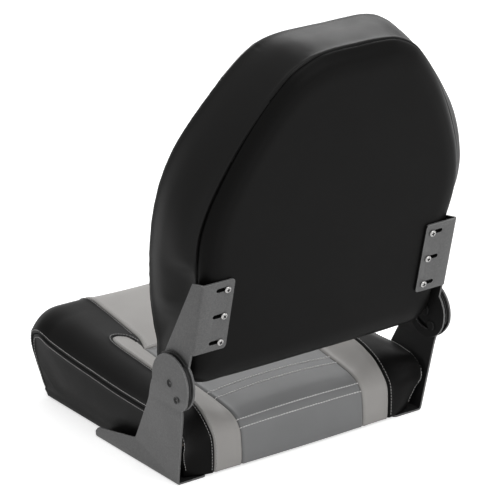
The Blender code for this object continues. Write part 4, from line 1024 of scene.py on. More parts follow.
# %% [markdown]
# The seams are needed as lines, for the padding, for the dip of the covers and for the stitches.
# Most are rows or columns of the grids. Those drawn in plan, or across the leaning backrest, are
# found by rays that drop on the panels.

# %% Seam lines
PROBES, ABOVE = 400, 0.3


def stacked(patches):
    """Points and faces of some patches, as one list of each."""
    points, faces = [], []
    for patch in patches:
        start = len(points)
        points += list(patch.points)
        faces += [[start + i for i in face] for face in patch.faces]
    return points, faces


def surface_of(points, faces):
    return BVHTree.FromPolygons([Vector(p) for p in points], faces)


def dropped(tree, starts, direction):
    """Where rays from the starts first meet a surface; starts that miss are left out."""
    hits = [tree.ray_cast(Vector(start), Vector(direction)) for start in starts]
    return np.array([tuple(hit[0]) for hit in hits if hit[0] is not None])


DOWN = (0.0, 0.0, -1.0)
seat_surface = surface_of(*stacked(seat_patches))
seat_seams = {}
for side, sign in SIDES.items():
    seat_seams["side_" + side] = side_panels[side][seam_row]
    edge, outer = (wrap[:, int(np.argmin(np.abs(columns - number * sign)))] for number in (1, 2))
    seat_seams["insert_" + side] = edge
    round_tip = dropped(seat_surface, [(sign * x, y, SEAT_HEIGHT * 2) for x, y in tip_line], DOWN)
    seat_seams["stripe_" + side] = np.vstack([outer[outer[:, 1] > tip_top], round_tip[::-1]])
half_parting = float(colour_edge(PARTING))
across = np.linspace(-half_parting, half_parting, 161)
seat_seams["parting"] = dropped(seat_surface, [(x, PARTING, SEAT_HEIGHT * 2) for x in across], DOWN)
print("seat seams", {name: len(line) for name, line in seat_seams.items()})

FORWARD = leaning(0.0, 1.0, 0.0) - leaning(0.0, 0.0, 0.0)
back_surface = surface_of(*stacked(back_patches))
back_seams = {name: np.vstack([grid[0], grid[0][:1]])
              for name, grid in (("rear", rear_grid), ("front_edge", front_grid))}
for side, sign in SIDES.items():
    for name, half in (("insert_", INSERT_HALF), ("stripe_", STRIPE_HALF)):
        rises = np.linspace(-BACK_DROP, BACK_HEIGHT - BACK_DROP, PROBES)
        starts = [leaning(sign * half, ABOVE, rise) for rise in rises]
        line = dropped(back_surface, starts, -FORWARD)
        depth = (line - leaning(0.0, 0.0, 0.0)) @ FORWARD
        back_seams[name + side] = line[depth > FRONT_EDGE_DEPTH * 0.75]
print("backrest seams", {name: len(line) for name, line in back_seams.items()})

# %% [markdown]
# The insert is quilted by pairs of lines across it: a row of stitches holds the cover to a thin
# sheet of foam behind it. The lines are wanted to lay the stitches on.

# %% Quilting lines
def across_insert(row):
    """The part of a row of the seat grid that lies on the insert."""
    line = wrap[int(np.argmin(np.abs(rows_at - row)))]
    return line[np.abs(line[:, 0]) <= colour_edge(line[:, 1]) + 1e-6]


seat_quilt = [across_insert(row) for row in QUILT_ROWS]
back_quilt = []
for rise in BACK_QUILT:
    starts = [leaning(x, ABOVE, rise) for x in np.linspace(-INSERT_HALF, INSERT_HALF, 120)]
    back_quilt.append(dropped(back_surface, starts, -FORWARD))
print("quilting lines", len(seat_quilt), "on the seat,", len(back_quilt), "on the backrest")

# %% [markdown]
# A sewn cover is drawn down into each seam and swells between seams. Cloth simulation gives the
# swelling: a copy of the whole cushion is remeshed into even faces, held still along its seams
# and blown up a little. How far each of its points moves is then handed on to the fine panels.

# %% Padding by cloth simulation
VOXEL, HELD_NEAR_SEAM, HELD_AT_ALL = 0.0055, 0.006, 0.02
CLOTH_FRAMES = 20
CLOTH = {"quality": 5, "mass": 0.25, "tension_stiffness": 12.0, "compression_stiffness": 12.0,
         "shear_stiffness": 6.0, "bending_stiffness": 1.5, "use_pressure": True,
         "uniform_pressure_force": 4.0, "vertex_group_mass": "held"}


def dense(line, spacing=0.0012):
    """Points every spacing along a polyline."""
    along = np.concatenate([[0], np.cumsum(np.linalg.norm(np.diff(line, axis=0), axis=1))])
    at = np.linspace(0, along[-1], max(2, int(along[-1] / spacing)))
    return np.stack([np.interp(at, along, line[:, k]) for k in range(3)], axis=1)


def tree_of(points):
    tree = KDTree(len(points))
    for i, point in enumerate(points):
        tree.insert(point, i)
    tree.balance()
    return tree


def tree_along(lines):
    """Tree of close points along some lines."""
    return tree_of(np.vstack([dense(line) for line in lines]))


def object_from(name, points, faces):
    mesh = bpy.data.meshes.new(name)
    mesh.from_pydata([tuple(p) for p in points], [], [list(f) for f in faces])
    return placed(name, mesh)


def applied(made):
    """The object's mesh with its modifiers worked out."""
    graph = bpy.context.evaluated_depsgraph_get()
    return bpy.data.meshes.new_from_object(made.evaluated_get(graph))


def mesh_points(mesh):
    points = np.zeros(len(mesh.vertices) * 3)
    mesh.vertices.foreach_get("co", points)
    return points.reshape(-1, 3)


def padded_moves(name, points, faces, seams, cap, held_more):
    """The even copy's rest points and faces, how far cloth under pressure moves the points, at most
    about as far as the cap, and how free each of them is to move."""
    rough = object_from(name, points, faces)
    step = rough.modifiers.new("voxels", "REMESH")
    step.mode = "VOXEL"
    step.voxel_size = VOXEL
    even = applied(rough)
    rough.modifiers.clear()
    rough.data = even
    rest = mesh_points(even)
    even_faces = [list(p.vertices) for p in even.polygons]
    held = rough.vertex_groups.new(name="held")
    free = np.zeros(len(rest))
    for i, point in enumerate(rest):
        near = seams.find(point)[2]
        weight = max(math.exp(-(near / HELD_NEAR_SEAM) ** 2), held_more(point))
        free[i] = 1 - weight
        if weight > HELD_AT_ALL:
            held.add([i], weight, "REPLACE")
    cloth = rough.modifiers.new("swelling", "CLOTH")
    for key, value in CLOTH.items():
        setattr(cloth.settings, key, value)
    cloth.settings.effector_weights.gravity = 0.0
    cloth.point_cache.frame_start, cloth.point_cache.frame_end = 1, CLOTH_FRAMES
    for number in range(1, CLOTH_FRAMES + 1):
        scene.frame_set(number)
    moved = mesh_points(applied(rough)) - rest
    scene.frame_set(1)
    bpy.data.objects.remove(rough)
    length = np.linalg.norm(moved, axis=1)[:, None]
    return rest, even_faces, moved * cap / (cap + length), free


print("cloth of", CLOTH["mass"], "kg a point under pressure", CLOTH["uniform_pressure_force"])

# %% [markdown]
# The covers can't swell everywhere. The seat's is stapled under the base, and the rear one lies
# tight on its board, so both are held there too. The seams of the backrest's insert and stripes
# are let go near their ends, because the seam of the rim holds the cover there.

# %% Swelling of both cushions
HEM_HELD, BOARD_HELD = (0.030, 0.015), (0.017, 0.006)


def held_below(level, limit, fade):
    """Share by which a point is held: not at all above a limit, and more and more below it."""
    return min(1.0, max(0.0, (limit - level) / fade))


def base_held(point):
    return held_below(point[2], *HEM_HELD)


def board_held(point):
    return held_below((np.array(point) - leaning(0.0, 0.0, 0.0)) @ FORWARD, *BOARD_HELD)


def closed_seat():
    """Points and faces of the whole seat cushion, closed below."""
    points, faces = stacked(seat_patches)
    left, right = side_panels["left"][-1], side_panels["right"][-1]
    rim = [*wrap[0], *left, *wrap[-1][::-1], *right[::-1]]
    return points + rim, faces + [list(range(len(points), len(points) + len(rim)))]


SEAT_CAP, BACK_CAP = 0.0040, 0.0030
BACK_RIM, FREE_ENDS = ("rear", "front_edge"), 16
seat_seam_tree, back_seam_tree = tree_along(seat_seams.values()), tree_along(back_seams.values())
back_held_tree = tree_along([line if name in BACK_RIM else line[FREE_ENDS:-FREE_ENDS]
                             for name, line in back_seams.items()])
seat_padding = padded_moves("seat_swelling", *closed_seat(), seat_seam_tree, SEAT_CAP, base_held)
back_padding = padded_moves("back_swelling", *stacked(back_patches), back_held_tree, BACK_CAP,
                            board_held)
for padding in (seat_padding, back_padding):
    print("padding", len(padding[0]), "points, largest move", round(float(np.abs(padding[2]).max()), 4))

# %% [markdown]
# The covers are moved in and out of their surface, so each point needs a direction. Panels that
# meet at a seam must use the same directions there, or they would part, so the faces of all of
# them count. The side band's panel has fewer points along the front edge than the front has,
# so points between two of its points get the directions between theirs.

# %% Directions out of the covers
ON_LINE = 2e-6


def shared_normals(patches):
    """Directions out of the surface, averaged over all the panels that meet at a point."""
    keys, index = {}, []
    for patch in patches:
        own = []
        for point in patch.points:
            key = tuple(np.round(point, 6))
            own.append(keys.setdefault(key, len(keys)))
        index.append(np.array(own))
    total = np.zeros((len(keys), 3))
    for patch, own in zip(patches, index):
        for face in patch.faces:
            corners = patch.points[face]
            normal = np.cross(corners - corners[0], np.roll(corners, -1, 0) - corners[0]).sum(0)
            total[own[face]] += normal
    total /= np.linalg.norm(total, axis=1)[:, None] + 1e-15
    return [total[own] for own in index]


def normals_along(line, patches, normals):
    """Give points that lie between two points of a closed line the directions between theirs."""
    owners = tree_of(np.vstack([patch.points for patch in patches]))
    known = np.vstack(normals)
    ends = np.array([known[owners.find(point)[1]] for point in line])
    after, ends_after = np.roll(line, -1, 0), np.roll(ends, -1, 0)
    length = np.linalg.norm(after - line, axis=1)
    for patch, own in zip(patches, normals):
        for i, point in enumerate(patch.points):
            near, far = np.linalg.norm(line - point, axis=1), np.linalg.norm(after - point, axis=1)
            k = int(np.argmin(near + far - length))
            if near[k] + far[k] - length[k] < ON_LINE and min(near[k], far[k]) > ON_LINE:
                share = near[k] / (near[k] + far[k])
                own[i] = ends[k] * (1 - share) + ends_after[k] * share


seat_normals, back_normals = shared_normals(seat_patches), shared_normals(back_patches)
normals_along(front_grid[0], back_patches, back_normals)
print("directions", sum(len(own) for own in seat_normals), "and", sum(len(own) for own in back_normals))

# %% [markdown]
# Each panel is now moved three ways: by the padding, down into its seams, and up a little beside
# them, where the turned-under edge makes the cover thicker. Towards the backrest's rim the other
# seams fade out, because the rim's seam holds the panels there. On an insert the quilting pulls
# the cover down too.

# %% Shape at the seams
SEAM_DIP, SEAM_REACH = 0.0017, 0.0016
FOLD_RISE, FOLD_AT, FOLD_REACH = 0.0005, 0.0042, 0.0022
QUILT_DIP, QUILT_REACH = 0.0003, 0.0015
PAINTED_SHADE_REACH, RIM_FADE, DRAWN_IN = 0.0009, 0.022, 0.0012
NEIGHBOURS = 10


def handed_on(moves, freedom, tree, point, normal):
    """How far the padding moves a point: a mean of the moves of the nearest points of the even copy.
    What is free to move starts a little further in, so that the swelling ends at the drawn size."""
    total, free, weight = np.zeros(3), 0.0, 0.0
    for _, i, distance in tree.find_n(point, NEIGHBOURS):
        share = math.exp(-(distance / (VOXEL * 0.9)) ** 2)
        total += moves[i] * share
        free += freedom[i] * share
        weight += share
    return (total - normal * DRAWN_IN * free) / (weight + 1e-9)


def seam_profile(near):
    """How far out the cover lies at distances from a seam."""
    return (FOLD_RISE * np.exp(-((near - FOLD_AT) / FOLD_REACH) ** 2)
            - SEAM_DIP * np.exp(-(near / SEAM_REACH) ** 2))


def distances(tree, points):
    return np.array([tree.find(point)[2] for point in points])


def shaped(patches, all_normals, seams, rim, quilting, padding):
    """The panels' final points, and how much painted shade near a seam each gets."""
    if padding:
        rest, _, even_moves, freedom = padding
        tree = tree_of(rest)
    shapes = []
    for patch, normals in zip(patches, all_normals):
        near = distances(seams, patch.points)
        out = seam_profile(near)
        if rim:
            to_rim = distances(rim, patch.points)
            share = np.clip(to_rim / RIM_FADE, 0, 1)
            out = seam_profile(to_rim) * (1 - share) + out * share
        if patch.name.endswith("insert"):
            out -= QUILT_DIP * np.exp(-(distances(quilting, patch.points) / QUILT_REACH) ** 2)
        moves = np.zeros_like(patch.points)
        if padding:
            moves = np.array([handed_on(even_moves, freedom, tree, *pair)
                              for pair in zip(patch.points, normals)])
        points = patch.points + moves + out[:, None] * normals
        # The second value is the share of painted shade near a seam that the vinyl finish darkens by.
        shapes.append((points, np.exp(-(near / PAINTED_SHADE_REACH) ** 2)))
    return shapes


at = np.array([0.0, 0.001, 0.002, FOLD_AT])
print("cover at", at.tolist(), "m from a seam lies at", seam_profile(at).round(5).tolist())

# %% [markdown]
# The finished panels become vinyl 1.2 mm thick, by a Solidify modifier, with the painted shade of
# a seam as an attribute for the finish. The side band also gets a map in metres for its gathers.
# The foam inside is the even copy of the cushion, as padded, drawn in from the covers.

# %% Covers and cores
VINYL_THICKNESS = 0.0012
CORE_INSET, CORE_SEAM_INSET, CORE_SEAM_REACH = 0.0028, 0.0022, 0.004


def map_gathers(made, patch):
    """Map of the side band: metres along the front edge and metres away from it."""
    steps = np.linalg.norm(np.diff(front_grid[0], axis=0, append=front_grid[0][:1]), axis=1)
    along = np.concatenate([[0], np.cumsum(steps)])
    along *= round(along[-1] / GATHER_PITCH) * GATHER_PITCH / along[-1]
    apart = np.linalg.norm(np.diff(boxing_grid[::-1], axis=0), axis=2)
    away = np.concatenate([np.zeros((1, apart.shape[1])), np.cumsum(apart, axis=0)])[::-1]
    places = tree_of(boxing_grid.reshape(-1, 3))
    ends = [divmod(places.find(point)[1], boxing_grid.shape[1]) for point in patch.points]
    layer = made.data.uv_layers.new(name="gathers")
    for face in made.data.polygons:
        last = max(ends[i][1] for i in face.vertices)
        for corner, i in zip(face.loop_indices, face.vertices):
            row, column = ends[i]
            turn = len(along) - 1 if last > 1 and column == 0 else column
            layer.data[corner].uv = (along[turn], away[row, column])


def add_cover(name, patch, shape, finish, cad_node):
    points, depth = shape
    made = object_from(name, points, patch.faces)
    if patch.name == "back_boxing":
        map_gathers(made, patch)
    made.data.materials.append(finish)
    made.data.shade_smooth()
    # The seam attribute holds the share of painted shade near a seam, for the vinyl finish.
    seam = made.data.attributes.new("seam", "FLOAT", "POINT")
    seam.data.foreach_set("value", depth.astype(np.float32))
    wall = made.modifiers.new("thickness", "SOLIDIFY")
    wall.thickness = VINYL_THICKNESS
    wall.offset = -1.0
    made.data = applied(made)
    made.modifiers.clear()
    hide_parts(cad_node)
    return made


def add_core(body, padding, seams):
    """The foam inside: the even copy, as padded, drawn in from the cover."""
    rest, faces, moves, _ = padding
    plain = object_from(body + "_foam_core", rest, faces)
    normals = np.zeros(len(rest) * 3)
    plain.data.vertices.foreach_get("normal", normals)
    near = distances(seams, rest)[:, None]
    inset = CORE_INSET + CORE_SEAM_INSET * np.exp(-(near / CORE_SEAM_REACH) ** 2)
    points = rest + moves - normals.reshape(-1, 3) * inset
    plain.data.vertices.foreach_set("co", points.ravel())
    plain.data.materials.append(FOAM)
    plain.data.shade_smooth()
    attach(plain, body)
    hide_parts(body + "_foam")


VINYLS = {"black": (BLACK_VINYL, "black_vinyl"), "light": (LIGHT_VINYL, "light_vinyl"),
          "mid": (MID_VINYL, "mid_vinyl"), "gathered": (GATHERED_LIT_VINYL, "black_vinyl")}
COVERS = {"insert": ("mid", "seat_cover_insert"), "front": ("light", "seat_cover_front"),
          "back_rear": ("black", "back_cover_rear"), "back_boxing": ("gathered", "back_cover_boxing"),
          "back_insert": ("mid", "back_cover_front_insert")}
for side in SIDES:
    COVERS["stripe_" + side] = "light", "seat_cover_stripe_" + side
    COVERS["bolster_" + side] = "black", "seat_cover_bolster_" + side
    COVERS["side_" + side] = "black", "seat_cover_side_" + side
    COVERS["back_stripe_" + side] = "light", "back_cover_front_stripe_" + side
    COVERS["back_bolster_" + side] = "black", "back_cover_front_side_" + side


def dress(body, patches, normals, seams, rim, quilting, padding):
    """Make the core of one cushion and all its covers, which go with the core."""
    if padding:
        add_core(body, padding, seams)
    else:
        nodes[body + "_foam"].hide_render = True
    made = {}
    for patch, shape in zip(patches, shaped(patches, normals, seams, rim, quilting, padding)):
        colour, node = COVERS[patch.name]
        finish, slot = VINYLS[colour]
        name = (patch.name if patch.name.startswith("back_") else "seat_" + patch.name) + "_vinyl"
        cover = add_cover(name, patch, shape, finish, node)
        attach(cover, body)
        made[patch.name] = (cover, shape[0], patch.faces)
    return made


back_rim = tree_along([back_seams[name] for name in BACK_RIM])
seat_covers = dress("seat", seat_patches, seat_normals, seat_seam_tree, None, tree_along(seat_quilt),
                    seat_padding)
back_covers = dress("back", back_patches, back_normals, back_seam_tree, back_rim, tree_along(back_quilt),
                    back_padding)
print("covers", len(seat_covers) + len(back_covers))

# %% [markdown]
# What repeats is made by Geometry Nodes. A Recipe is one tree with named inputs. It is run on a
# small mesh of points or lines, its result is turned into a plain mesh, and the modifier goes.

# %% Recipes of Geometry Nodes
class Recipe(Tree):
    """One Geometry Nodes tree, with its named inputs as values."""

    def __init__(self, name, inputs):
        super().__init__(bpy.data.node_groups.new(name, "GeometryNodeTree"))
        outside = self.tree.interface
        outside.new_socket("Geometry", in_out="INPUT", socket_type="NodeSocketGeometry")
        outside.new_socket("Geometry", in_out="OUTPUT", socket_type="NodeSocketGeometry")
        for title, kind in inputs.items():
            outside.new_socket(title, in_out="INPUT", socket_type="NodeSocket" + kind)
        start = self.tree.nodes.new("NodeGroupInput")
        self.given = {socket.name: Value(self, socket) for socket in start.outputs if socket.name}

    def finished(self, geometry):
        """Real faces with their material, as the tree's result."""
        real = self.node("GeometryNodeRealizeInstances", None, {"Geometry": geometry})
        smooth = self.node("GeometryNodeSetShadeSmooth", None, {"Geometry": real})
        dressed = self.node("GeometryNodeSetMaterial", None, {
            "Geometry": smooth, "Material": self.given["Material"]})
        self.node("NodeGroupOutput", None, {0: dressed})

    def run(self, name, points, lines, outward, values):
        """A plain mesh object made from points with an outward direction, joined by lines."""
        mesh = bpy.data.meshes.new(name)
        mesh.from_pydata([tuple(p) for p in points], lines, [])
        away = mesh.attributes.new("outward", "FLOAT_VECTOR", "POINT")
        away.data.foreach_set("vector", np.asarray(outward, np.float32).ravel())
        made = placed(name, mesh)
        step = made.modifiers.new("recipe", "NODES")
        step.node_group = self.tree
        for item in self.tree.interface.items_tree:
            if item.in_out == "INPUT" and item.name in values:
                step[item.identifier] = values[item.name]
        made.data = applied(made)
        made.modifiers.clear()
        return made


def facing(recipe, axis, vector, rotation=None, pivot="AUTO"):
    """Rotation whose axis points along a vector, starting from another rotation if one is given."""
    inputs = {"Vector": vector, **({"Rotation": rotation} if rotation else {})}
    return recipe.node("FunctionNodeAlignRotationToVector", {"axis": axis, "pivot_axis": pivot}, inputs)


def outward_of(recipe):
    """The direction that run has stored at each point."""
    return recipe.node("GeometryNodeInputNamedAttribute", {"data_type": "FLOAT_VECTOR"}, {
        "Name": "outward"})


print("a recipe takes points, lines, directions and named inputs")

# %% [markdown]
# A top stitch is a short arch of thread whose ends go down through the vinyl. Its line is laid on
# the finished covers, and the recipe sets one arch at every step of the line, turned along it and
# standing on the surface. Each arch is a little longer or shorter than the next, as sewn ones are.

# %% Recipe of a sewn line
STITCH = {"Pitch": 0.0046, "Stitch": 0.0036, "Thickness": 0.00038, "Rise": 0.0008, "Seed": 4}
sewn = Recipe("sewn_line", {"Pitch": "Float", "Stitch": "Float", "Thickness": "Float", "Rise": "Float",
                            "Seed": "Int", "Material": "Material"})
given = sewn.given
line = sewn.node("GeometryNodeMeshToCurve", None, {"Mesh": given["Geometry"]})
steps = sewn.node("GeometryNodeResampleCurve", {"mode": "LENGTH"}, {
    "Curve": line, "Length": given["Pitch"]})
half_stitch, down = given["Stitch"] * 0.5, given["Thickness"] * -1.4
start = sewn.node("ShaderNodeCombineXYZ", None, {"X": half_stitch * -1.0, "Z": down})
top = sewn.node("ShaderNodeCombineXYZ", None, {"Z": given["Rise"] * 2.0})
end = sewn.node("ShaderNodeCombineXYZ", None, {"X": half_stitch, "Z": down})
arch = sewn.node("GeometryNodeCurveQuadraticBezier", None, {
    "Resolution": 5, "Start": start, "Middle": top, "End": end})
thread = sewn.node("GeometryNodeCurvePrimitiveCircle", None, {
    "Resolution": 6, "Radius": given["Thickness"]})
shape = sewn.node("GeometryNodeCurveToMesh", None, {
    "Curve": arch, "Profile Curve": thread, "Fill Caps": True})
along = facing(sewn, "X", sewn.node("GeometryNodeInputTangent"))
upright = facing(sewn, "Z", outward_of(sewn), along, "X")
uneven = sewn.node("FunctionNodeRandomValue", {"data_type": "FLOAT"}, {
    2: 0.90, 3: 1.06, "Seed": given["Seed"]}, 1)
sewn.finished(sewn.node("GeometryNodeInstanceOnPoints", None, {
    "Points": steps, "Instance": shape, "Rotation": upright,
    "Scale": sewn.node("ShaderNodeCombineXYZ", None, {"X": uneven, "Y": 1.0, "Z": 1.0})}))
print("sewn line recipe", len(sewn.tree.nodes), "nodes")

# %% [markdown]
# The seams are sewn twice, so a line of stitches runs some millimetres beside each seam. A seam
# line is moved sideways to both sides, and the side that lies nearer to the panel is taken. Its
# points then go to the nearest places of the finished panel, and a running mean evens them out.

# %% Laying lines on the covers
BESIDE, BESIDE_STRIPE, BESIDE_FRONT, BESIDE_SIDE = 0.0045, 0.0030, 0.0052, 0.0055
LINE_STEP, HEM_CLEAR, FAR = 0.0015, 0.004, 1.0


def smoothed(rows, reach=4):
    """Running mean along a line."""
    padded_rows = np.vstack([rows[:1]] * reach + [rows] + [rows[-1:]] * reach)
    return np.array([padded_rows[i:i + 2 * reach + 1].mean(axis=0) for i in range(len(rows))])


def unit(rows):
    return rows / (np.linalg.norm(rows, axis=1)[:, None] + 1e-12)


def laid_beside(seam, drawn_surface, cover, distance):
    """Points and directions of a stitch line at a distance from a seam, on a finished cover."""
    line = dense(seam, LINE_STEP)
    heading = unit(smoothed(np.gradient(line, axis=0)))
    facing_out = unit(smoothed(np.array([drawn_surface.find_nearest(Vector(p))[1] for p in line])))
    side = np.cross(facing_out, heading) * distance
    tree = surface_of(*cover[1:])
    best = None
    for sign in ((1,) if distance == 0 else (1, -1)):
        found = [tree.find_nearest(Vector(p)) for p in line + side * sign]
        total = sum(hit[3] for hit in found)
        if best is None or total < best[0]:
            best = (total, found)
    points = smoothed(np.array([tuple(hit[0]) for hit in best[1]]), 2)
    return points, unit(smoothed(np.array([tuple(hit[1]) for hit in best[1]])))


def stitched(name, body, thread, rows, sizes):
    """One mesh of all the stitch lines of one thread on one body; rows are (points, directions)."""
    points, outward, lines = [], [], []
    for line, away in rows:
        keep = np.concatenate([[True], np.linalg.norm(np.diff(line, axis=0), axis=1) > 1e-5])
        line, away = line[keep], away[keep]
        start = len(points)
        points += list(line)
        outward += list(away)
        lines += [(start + i, start + i + 1) for i in range(len(line) - 1)]
    made = sewn.run(name, points, lines, outward, {**sizes, "Material": thread})
    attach(made, body)
    print(name, len(made.data.polygons), "faces")
    return made


def between(line, low, high, axis=1):
    """The part of a line whose coordinate lies between two values."""
    return line[(line[:, axis] > low) & (line[:, axis] < high)]


print("stitch lines lie", BESIDE, "m beside their seam")

# %% [markdown]
# On the seat the seam behind the front panel, the stripes' seams and the side seams are sewn
# down, each from both of its panels. The quilting is laid on its own lines, with thicker thread.
# The backrest has its quilting and one line beside each stripe. No stitch lies below the hem.

# %% Stitches
QUILT_STITCH = {**STITCH, "Thickness": 0.00078, "Rise": 0.0016}
quilted = [laid_beside(line, seat_surface, seat_covers["insert"], 0.0) for line in seat_quilt]
stitched("seat_quilt_stitches", "seat", WHITE_THREAD, quilted, QUILT_STITCH)
seat_rows_sewn = [laid_beside(seat_seams["parting"][2:-2], seat_surface, seat_covers[panel], BESIDE)
                  for panel in ("front", "insert")]
for side in SIDES:
    edge, stripe, front = (between(seat_seams[name + side], HEM_CLEAR, FAR, 2)
                           for name in ("side_", "stripe_", "insert_"))
    front = between(front, -FAR, tip_top)
    for seam, panel, distance in (
            (edge, "bolster_" + side, BESIDE_SIDE), (edge, "side_" + side, BESIDE_SIDE),
            (stripe, "bolster_" + side, BESIDE), (stripe, "stripe_" + side, BESIDE_STRIPE),
            (between(front, -FAR, TIP - BESIDE), "bolster_" + side, BESIDE),
            (between(front, -FAR, tip_top - BESIDE), "front", BESIDE_FRONT)):
        seat_rows_sewn.append(laid_beside(seam, seat_surface, seat_covers[panel], distance))
stitched("seat_top_stitches", "seat", PALE_THREAD, seat_rows_sewn, STITCH)

quilted = [laid_beside(line[1:-1], back_surface, back_covers["back_insert"], 0.0) for line in back_quilt]
stitched("back_quilt_stitches", "back", WHITE_THREAD, quilted, QUILT_STITCH)
back_rows_sewn = [laid_beside(back_seams["stripe_" + side][2:-2], back_surface,
                              back_covers["back_bolster_" + side], BESIDE) for side in SIDES]
stitched("back_top_stitches", "back", PALE_THREAD, back_rows_sewn, STITCH)

# %% [markdown]
# The steel of the brackets and hinge plates is 2 and 3 mm sheet with its edges broken before it
# is painted. The solids have sharp edges, so each is copied, its triangles are joined, and its
# sharp edges get a small bevel. The bevel's faces are marked, and the paint is paler there, partly
# rubbed and partly a painted highlight.

# %% Bevelled steel
EDGE_ROUND, WELD = 0.0004, 2e-6
SHARP, FLAT, SMOOTH_UP_TO = math.radians(30), math.radians(0.6), math.radians(24)


def body_of(node):
    """Name of the body that a solid belongs to."""
    return node.parent.name.split(":")[1]


def bevelled(node_name, width, finish):
    """A copy of a solid with its sharp edges broken and its bevels marked, in place of the solid."""
    node = nodes[node_name]
    made = bmesh.new()
    made.from_mesh(node.data)
    edge = made.faces.layers.float.new("edge")
    bmesh.ops.remove_doubles(made, verts=made.verts, dist=WELD)
    bmesh.ops.dissolve_limit(made, angle_limit=FLAT, verts=made.verts, edges=made.edges)
    sharp = [e for e in made.edges if len(e.link_faces) == 2 and e.calc_face_angle(0.0) > SHARP]
    rounded = bmesh.ops.bevel(made, geom=sharp, offset=width, offset_type="OFFSET", segments=2,
                              profile=0.5, affect="EDGES", clamp_overlap=True)
    # Mark the bevel faces for paler paint: partly rubbed, partly a painted highlight.
    for face in rounded["faces"]:
        face[edge] = 1.0
    mesh = bpy.data.meshes.new(node_name + "_steel")
    made.to_mesh(mesh)
    made.free()
    mesh.shade_smooth()
    mesh.set_sharp_from_angle(angle=SMOOTH_UP_TO)
    mesh.materials.append(finish)
    piece = placed(node_name + "_steel", mesh)
    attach(piece, body_of(node))
    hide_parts(node_name)
    return piece


PAINTED = {"seat_bracket_": GREY_PAINT, "back_bracket_": GREY_PAINT, "hinge_plate_": BLACK_PAINT}
steel = {kind + side: bevelled(kind + side, EDGE_ROUND, finish)
         for kind, finish in PAINTED.items() for side in SIDES}
print("steel", {name: len(piece.data.polygons) for name, piece in steel.items()})

# %% [markdown]
# Some steel lies in the dark: the walls of the slots round the screws of the backrest, the faces
# that look towards the cushion, and the foot under it. These faces are marked, and the paint gets
# a painted shade there. The slots are found by the places of the screws in them.

# %% Painted shade on the steel
SLOT_PAST, SLOT_BESIDE, FOOT_HIGH = 0.0038, 0.0192, 0.006


def mark_painted_shade(made, inside):
    """Mark the faces for which inside is true, which get a painted shade."""
    marks = made.data.attributes.get("recess") or made.data.attributes.new("recess", "FLOAT", "FACE")
    for face, mark in zip(made.data.polygons, marks.data):
        if inside(face):
            mark.value = 1.0


def paint_slot_shade(piece, sign, screw):
    """Mark the walls of the slot round one screw of a back bracket for a painted shade."""
    low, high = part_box(screw)
    middle = (Vector(low) + Vector(high)) / 2

    def on_wall(face):
        away = face.center - middle
        return (abs(face.normal.dot(Vector(FORWARD))) < 0.5 and -SLOT_PAST < away.x * sign < SLOT_BESIDE
                and abs(away.dot(Vector(UPWARD))) < SLOT_PAST)

    mark_painted_shade(piece, on_wall)


def paint_inside_shade(piece, sign):
    """Mark the faces that look towards the cushion, and the top of the foot, for a painted shade."""
    mark_painted_shade(piece, lambda face: face.normal.x * sign < -0.6
                or (face.normal.z > 0.8 and face.center.z < FOOT_HIGH))


for side, sign in SIDES.items():
    for number in (1, 2, 3):
        paint_slot_shade(steel["back_bracket_" + side], sign, f"back_screw_{side}_{number}")
    for kind in PAINTED:
        paint_inside_shade(steel[kind + side], sign)
for name, piece in steel.items():
    print(name, "dark faces", sum(mark.value > 0 for mark in piece.data.attributes["recess"].data))

# %% [markdown]
# Screws and rivets are turned on a lathe: a profile goes round an axis. One of each kind is made,
# with its cross or its dimple, and a recipe sets a copy at each place, facing out of the steel
# and turned by a chance angle, as screws stop at any angle. Their places come from the solids.

# %% Turned fasteners
def turned(name, profile, sides=36):
    """Mesh object turned round Z from a profile of (radius, height), from the axis to the axis."""
    points, faces, rings = [], [], []
    angles = [math.tau * i / sides for i in range(sides)]
    for radius, height in profile:
        start = len(points)
        if radius == 0:
            rings.append([start] * sides)
            points.append((0.0, 0.0, height))
        else:
            rings.append([start + i for i in range(sides)])
            points += [(radius * math.cos(angle), radius * math.sin(angle), height) for angle in angles]
    for low, high in zip(rings, rings[1:]):
        for i in range(sides):
            corners = [low[i], low[(i + 1) % sides], high[(i + 1) % sides], high[i]]
            faces.append([c for k, c in enumerate(corners) if c not in corners[:k]])
    return object_from(name, points, faces)


def cross_recess(screw, width, length, depth, top):
    """Cut a tapered cross into the top of a screw, and mark the cross for a painted shade."""
    tool = bmesh.new()
    for turn in (0, math.pi / 2):
        for vert in bmesh.ops.create_cube(tool, size=1.0)["verts"]:
            low = vert.co.z < 0
            shorter, thinner, height = (0.55, 0.8, top - depth) if low else (1.0, 1.0, top + depth)
            vert.co = Vector((vert.co.x * length * shorter, vert.co.y * width * thinner, height))
            vert.co.rotate(Matrix.Rotation(turn, 3, "Z"))
    mesh = bpy.data.meshes.new("cross_cutter")
    tool.to_mesh(mesh)
    tool.free()
    cutter = placed("cross_cutter", mesh)
    cut = screw.modifiers.new("cross", "BOOLEAN")
    cut.solver = "EXACT"
    cut.use_self = True
    cut.object = cutter
    screw.data = applied(screw)
    screw.modifiers.clear()
    bpy.data.objects.remove(cutter)

    def in_cross(face):
        low = face.center.z > top - depth * 1.1 and face.center.xy.length < length * 0.52
        return low and (abs(face.normal.z) < 0.6 or face.center.z < top - depth * 0.9)

    mark_painted_shade(screw, in_cross)


